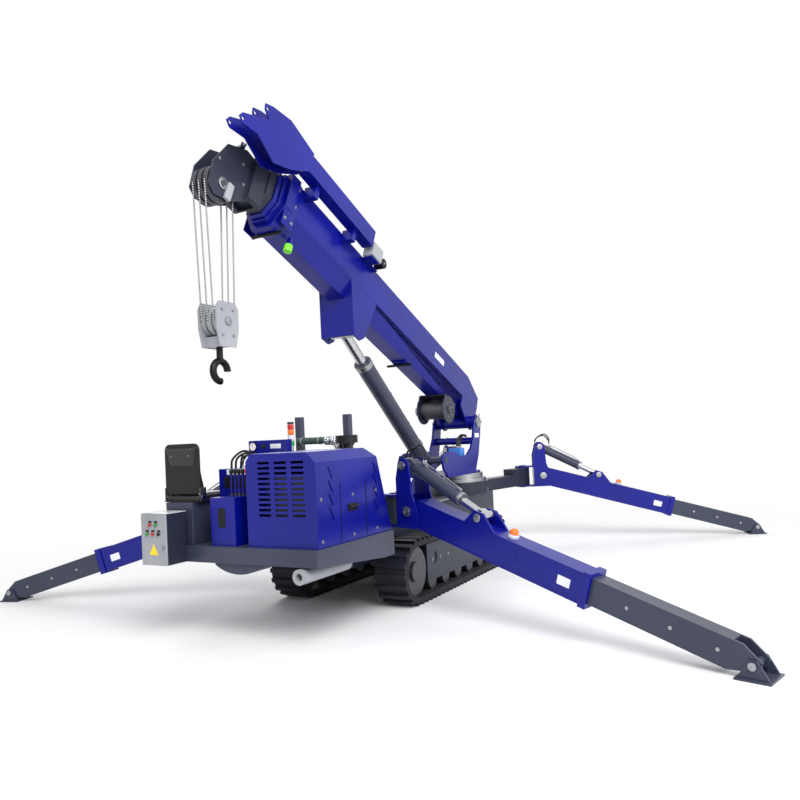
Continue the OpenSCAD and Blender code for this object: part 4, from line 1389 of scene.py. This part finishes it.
    def cabinet(self) -> None:
        """Buttons, lock and blank sign of the switch cabinet's door."""
        piece = self.stock("cabinet_buttons", "cabinet_door")
        face = self.box("cabinet_door")[0].x
        rows = ((RED_PAINT, 0.696, 0.978), (GREEN_PAINT, 0.630, 0.978), (GREEN_PAINT, 0.729, 0.904),
                (RED_PAINT, 0.665, 0.904), (BLACK_PLASTIC, 0.600, 0.904))
        for colour, y, z in rows:
            piece.of(ZINC).bar((face + 0.001, y, z), (face - 0.004, y, z), 0.017, 24)
            piece.of(colour).bar((face - 0.003, y, z), (face - 0.014, y, z), 0.0135, 24)
            piece.of(BLACK_PLASTIC).block((face - 0.002, y - 0.017, z + 0.016),
                                          (face + 0.001, y + 0.017, z + 0.032), 0.0)
        piece.of(ZINC).bar((face + 0.001, 0.553, 0.797), (face - 0.008, 0.553, 0.797), 0.014, 20)
        piece.of(ZINC).block((face - 0.014, 0.549, 0.775), (face - 0.006, 0.557, 0.819), 0.002)
        piece.of(YELLOW_PAINT).plate([(0.615, 0.734), (0.71, 0.734), (0.6625, 0.824)], face - 0.0018, face + 0.0005,
                                     "yz", edge=0.0004)
        piece.finish()
        hood = self.stock("cabinet_rain_hood", "cabinet_box")
        hood.of(PALE_PAINT).block((-3.532, 0.512, 1.0655), (-3.325, 0.808, 1.071), 0.002)
        hood.finish()

    def build(self) -> None:
        """Fit the operator's place."""
        self.seat()
        self.console()
        self.panel()
        self.cabinet()


@dataclass
class Crane(Assembly):
    """Fittings of the column, boom, winch and head."""

    column_face: float = 0.300
    boom_face: float = 0.1995
    winch_axle: tuple[float, float] = (0.615, -0.095)
    head_axle: tuple[float, float] = (4.80, -0.01)
    head_face: float = 0.1055
    block_axle_z: float = 2.573

    def column(self) -> None:
        """Pivot caps, valve fittings and pipes of the column."""
        piece = self.stock("column_fittings", "column")
        pivot = self.pivots.at("luff")
        for side in (1, -1):
            self.cap(piece, (pivot.x, side * self.column_face, pivot.z), side, 0.075, 0.012)
            for i in range(6):
                turn = math.radians(60 * i)
                spot = (pivot.x + 0.105 * math.cos(turn), side * self.column_face, pivot.z + 0.105 * math.sin(turn))
                piece.of(ZINC).bolt(spot, (0, side, 0), 0.010, 0.008)
        piece.of(LABEL).block((0.86, -0.3020, 1.52), (0.99, -0.2995, 1.575), 0.001)
        piece.finish()
        piece = self.stock("valve_fittings", "valve_block")
        for i in range(4):
            x = 0.520 + 0.030 * i
            piece.of(ZINC).bar((x, -0.20, 1.3995), (x, -0.20, 1.425), 0.011, 6, 0.001)
            piece.of(HOSE).tube([(x, -0.20, 1.42), (x + 0.02, -0.20, 1.50), (x + 0.10, -0.215, 1.56),
                                 (x + 0.20, -0.235 + 0.01 * i, 1.54)], 0.011, 10)
            piece.of(BLACK_PLASTIC).bar((x, -0.2515, 1.16), (x, -0.275, 1.16), 0.012, 20)
        piece.finish()

    def boom(self) -> None:
        """Collar, carrying bars, labels and lamps of the boom's base."""
        piece = self.stock("boom_fittings", "boom_base", self.pivots.boom())
        for side in (1, -1):
            low, high = sorted((side * self.boom_face, side * 0.211))
            piece.of(BLUE).block((4.04, low, 0.055), (4.19, high, 0.535), 0.003)
            for v in (0.12, 0.30, 0.48):
                piece.of(ZINC).bolt((4.07, side * 0.211, v), (0, side, 0), 0.012)
                piece.of(ZINC).bolt((4.16, side * 0.211, v), (0, side, 0), 0.012)
            piece.of(LABEL).plate(rounded((0.95, 0.33), (1.20, 0.40), 0.008),
                                  *sorted((side * self.boom_face, side * 0.2012)), edge=0.0004)
        piece.of(BLUE).block((4.04, -0.20, 0.5395), (4.19, 0.20, 0.551), 0.003)
        for u in (1.62, 4.11):
            piece.of(BLUE).block((u - 0.05, -0.08, 0.032), (u + 0.05, 0.08, 0.0505), 0.003)
            piece.of(BLACK_IRON).bar((u, -0.16, 0.018), (u, 0.16, 0.018), 0.015, 20)
        piece.of(BLUE).block((3.95, 0.13, -0.02), (3.985, 0.17, 0.0505), 0.003)
        piece.of(LIME_PAINT).bar((3.967, 0.15, -0.09), (3.967, 0.15, -0.02), 0.038, 28, 0.008)
        piece.of(BLUE).block((2.86, 0.1995, 0.50), (3.00, 0.34, 0.512), 0.003)
        piece.of(CAST).block((2.84, 0.235, 0.512), (3.02, 0.355, 0.66), 0.008)
        piece.of(BLACK_IRON).bar((2.78, 0.245, 0.56), (2.78, 0.345, 0.56), 0.052, 32, 0.004)
        piece.of(ZINC).bar((2.78, 0.24, 0.56), (2.78, 0.35, 0.56), 0.012, 20)
        piece.of(BLUE).block((2.74, 0.1995, 0.50), (2.86, 0.25, 0.512), 0.003)
        piece.finish()

    def winch(self) -> None:
        """Motor, flange bolts and rims of the winch."""
        spot = self.winch_axle
        piece = self.stock("winch_motor", "winch_frame", self.pivots.boom())
        piece.of(SLATE_DARK).bar((spot[0], 0.1655, spot[1]), (spot[0], 0.178, spot[1]), 0.125, 40, 0.003)
        piece.of(IRON).bar((spot[0], 0.178, spot[1]), (spot[0], 0.192, spot[1]), 0.045, 28, 0.003)
        piece.of(SLATE_DARK).bar((spot[0], -0.1655, spot[1]), (spot[0], -0.205, spot[1]), 0.10, 36, 0.005)
        piece.of(ZINC).bar((spot[0], -0.205, spot[1]), (spot[0], -0.262, spot[1]), 0.062, 32, 0.006)
        for i in range(6):
            turn = math.radians(60 * i + 22)
            piece.of(ZINC).bolt((spot[0] + 0.095 * math.cos(turn), 0.178, spot[1] + 0.095 * math.sin(turn)),
                                (0, 1, 0), 0.009)
        piece.finish()

    def head(self) -> None:
        """Axle caps, rope keepers and the limit switch at the boom's head."""
        piece = self.stock("head_fittings", "boom_section_4", self.pivots.boom())
        for side in (1, -1):
            self.cap(piece, (self.head_axle[0], side * self.head_face, self.head_axle[1]), side, 0.05, 0.010)
            for u, v in ((4.90, 0.16), (4.66, 0.30), (4.60, 0.14)):
                piece.of(ZINC).bolt((u, side * self.head_face, v), (0, side, 0), 0.011)
        piece.of(CAST).block((4.70, self.head_face, -0.12), (4.76, 0.135, 0.03), 0.005)
        for u, v in ((4.70, 0.462), (4.52, 0.462)):
            for y in (-0.085, 0.085):
                piece.of(SLATE_DARK).block((u - 0.022, y - 0.008, v - 0.026), (u + 0.022, y + 0.008, v + 0.03), 0.003)
            piece.of(ZINC).bar((u, -0.115, v + 0.010), (u, 0.115, v + 0.010), 0.012, 20)
        piece.finish()

    def block(self) -> None:
        """Axle caps and bolts of the hook block."""
        hang = self.pivots.at("block_hang")
        centre = self.box("hook_block")[1]
        piece = self.stock("block_fittings", "hook_block")
        for side in (1, -1):
            piece.of(ZINC).bar((hang.x, side * 0.0985, self.block_axle_z), (hang.x, side * 0.112, self.block_axle_z),
                               0.034, 28)
            for z in (2.46, 2.66):
                piece.of(ZINC).bolt((centre.x + 0.06, side * 0.098, z), (0, side, 0), 0.010)
                piece.of(ZINC).bolt((centre.x - 0.06, side * 0.098, z), (0, side, 0), 0.010)
        piece.finish()

    def cylinder(self) -> None:
        """Gland, ports and steel line of the luffing cylinder."""
        piece = self.stock("luff_fittings", "luff_barrel", self.pivots.luff())
        piece.of(MACHINED).bar((1.62, 0, 0), (1.679, 0, 0), 0.098, 40)
        piece.of(ZINC).block((0.16, -0.03, 0.088), (0.25, 0.03, 0.128), 0.004)
        piece.of(ZINC).block((1.52, -0.025, 0.088), (1.58, 0.025, 0.12), 0.004)
        piece.of(ZINC).tube([(0.22, 0.0, 0.118), (0.34, 0.0, 0.118), (1.3, 0.0, 0.112), (1.55, 0.0, 0.112)], 0.010, 12)
        for x in (0.55, 1.05):
            piece.of(ZINC).block((x, -0.02, 0.088), (x + 0.03, 0.02, 0.13), 0.003)
        piece.finish()

    def build(self) -> None:
        """Fit the crane."""
        self.column()
        self.boom()
        self.winch()
        self.head()
        self.block()
        self.cylinder()


def main() -> None:
    """Build the scene in order."""
    logging.basicConfig(level=logging.INFO, format="%(message)s")
    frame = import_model()
    Studio().build()
    nodes = frame["nodes"]
    Wardrobe(nodes).dress()
    pivots = Pivots(frame["joints"])
    for group in (Legs(nodes, pivots), Carrier(nodes, pivots), Station(nodes, pivots), Crane(nodes, pivots)):
        group.build()


if __name__ == "__main__":
    main()
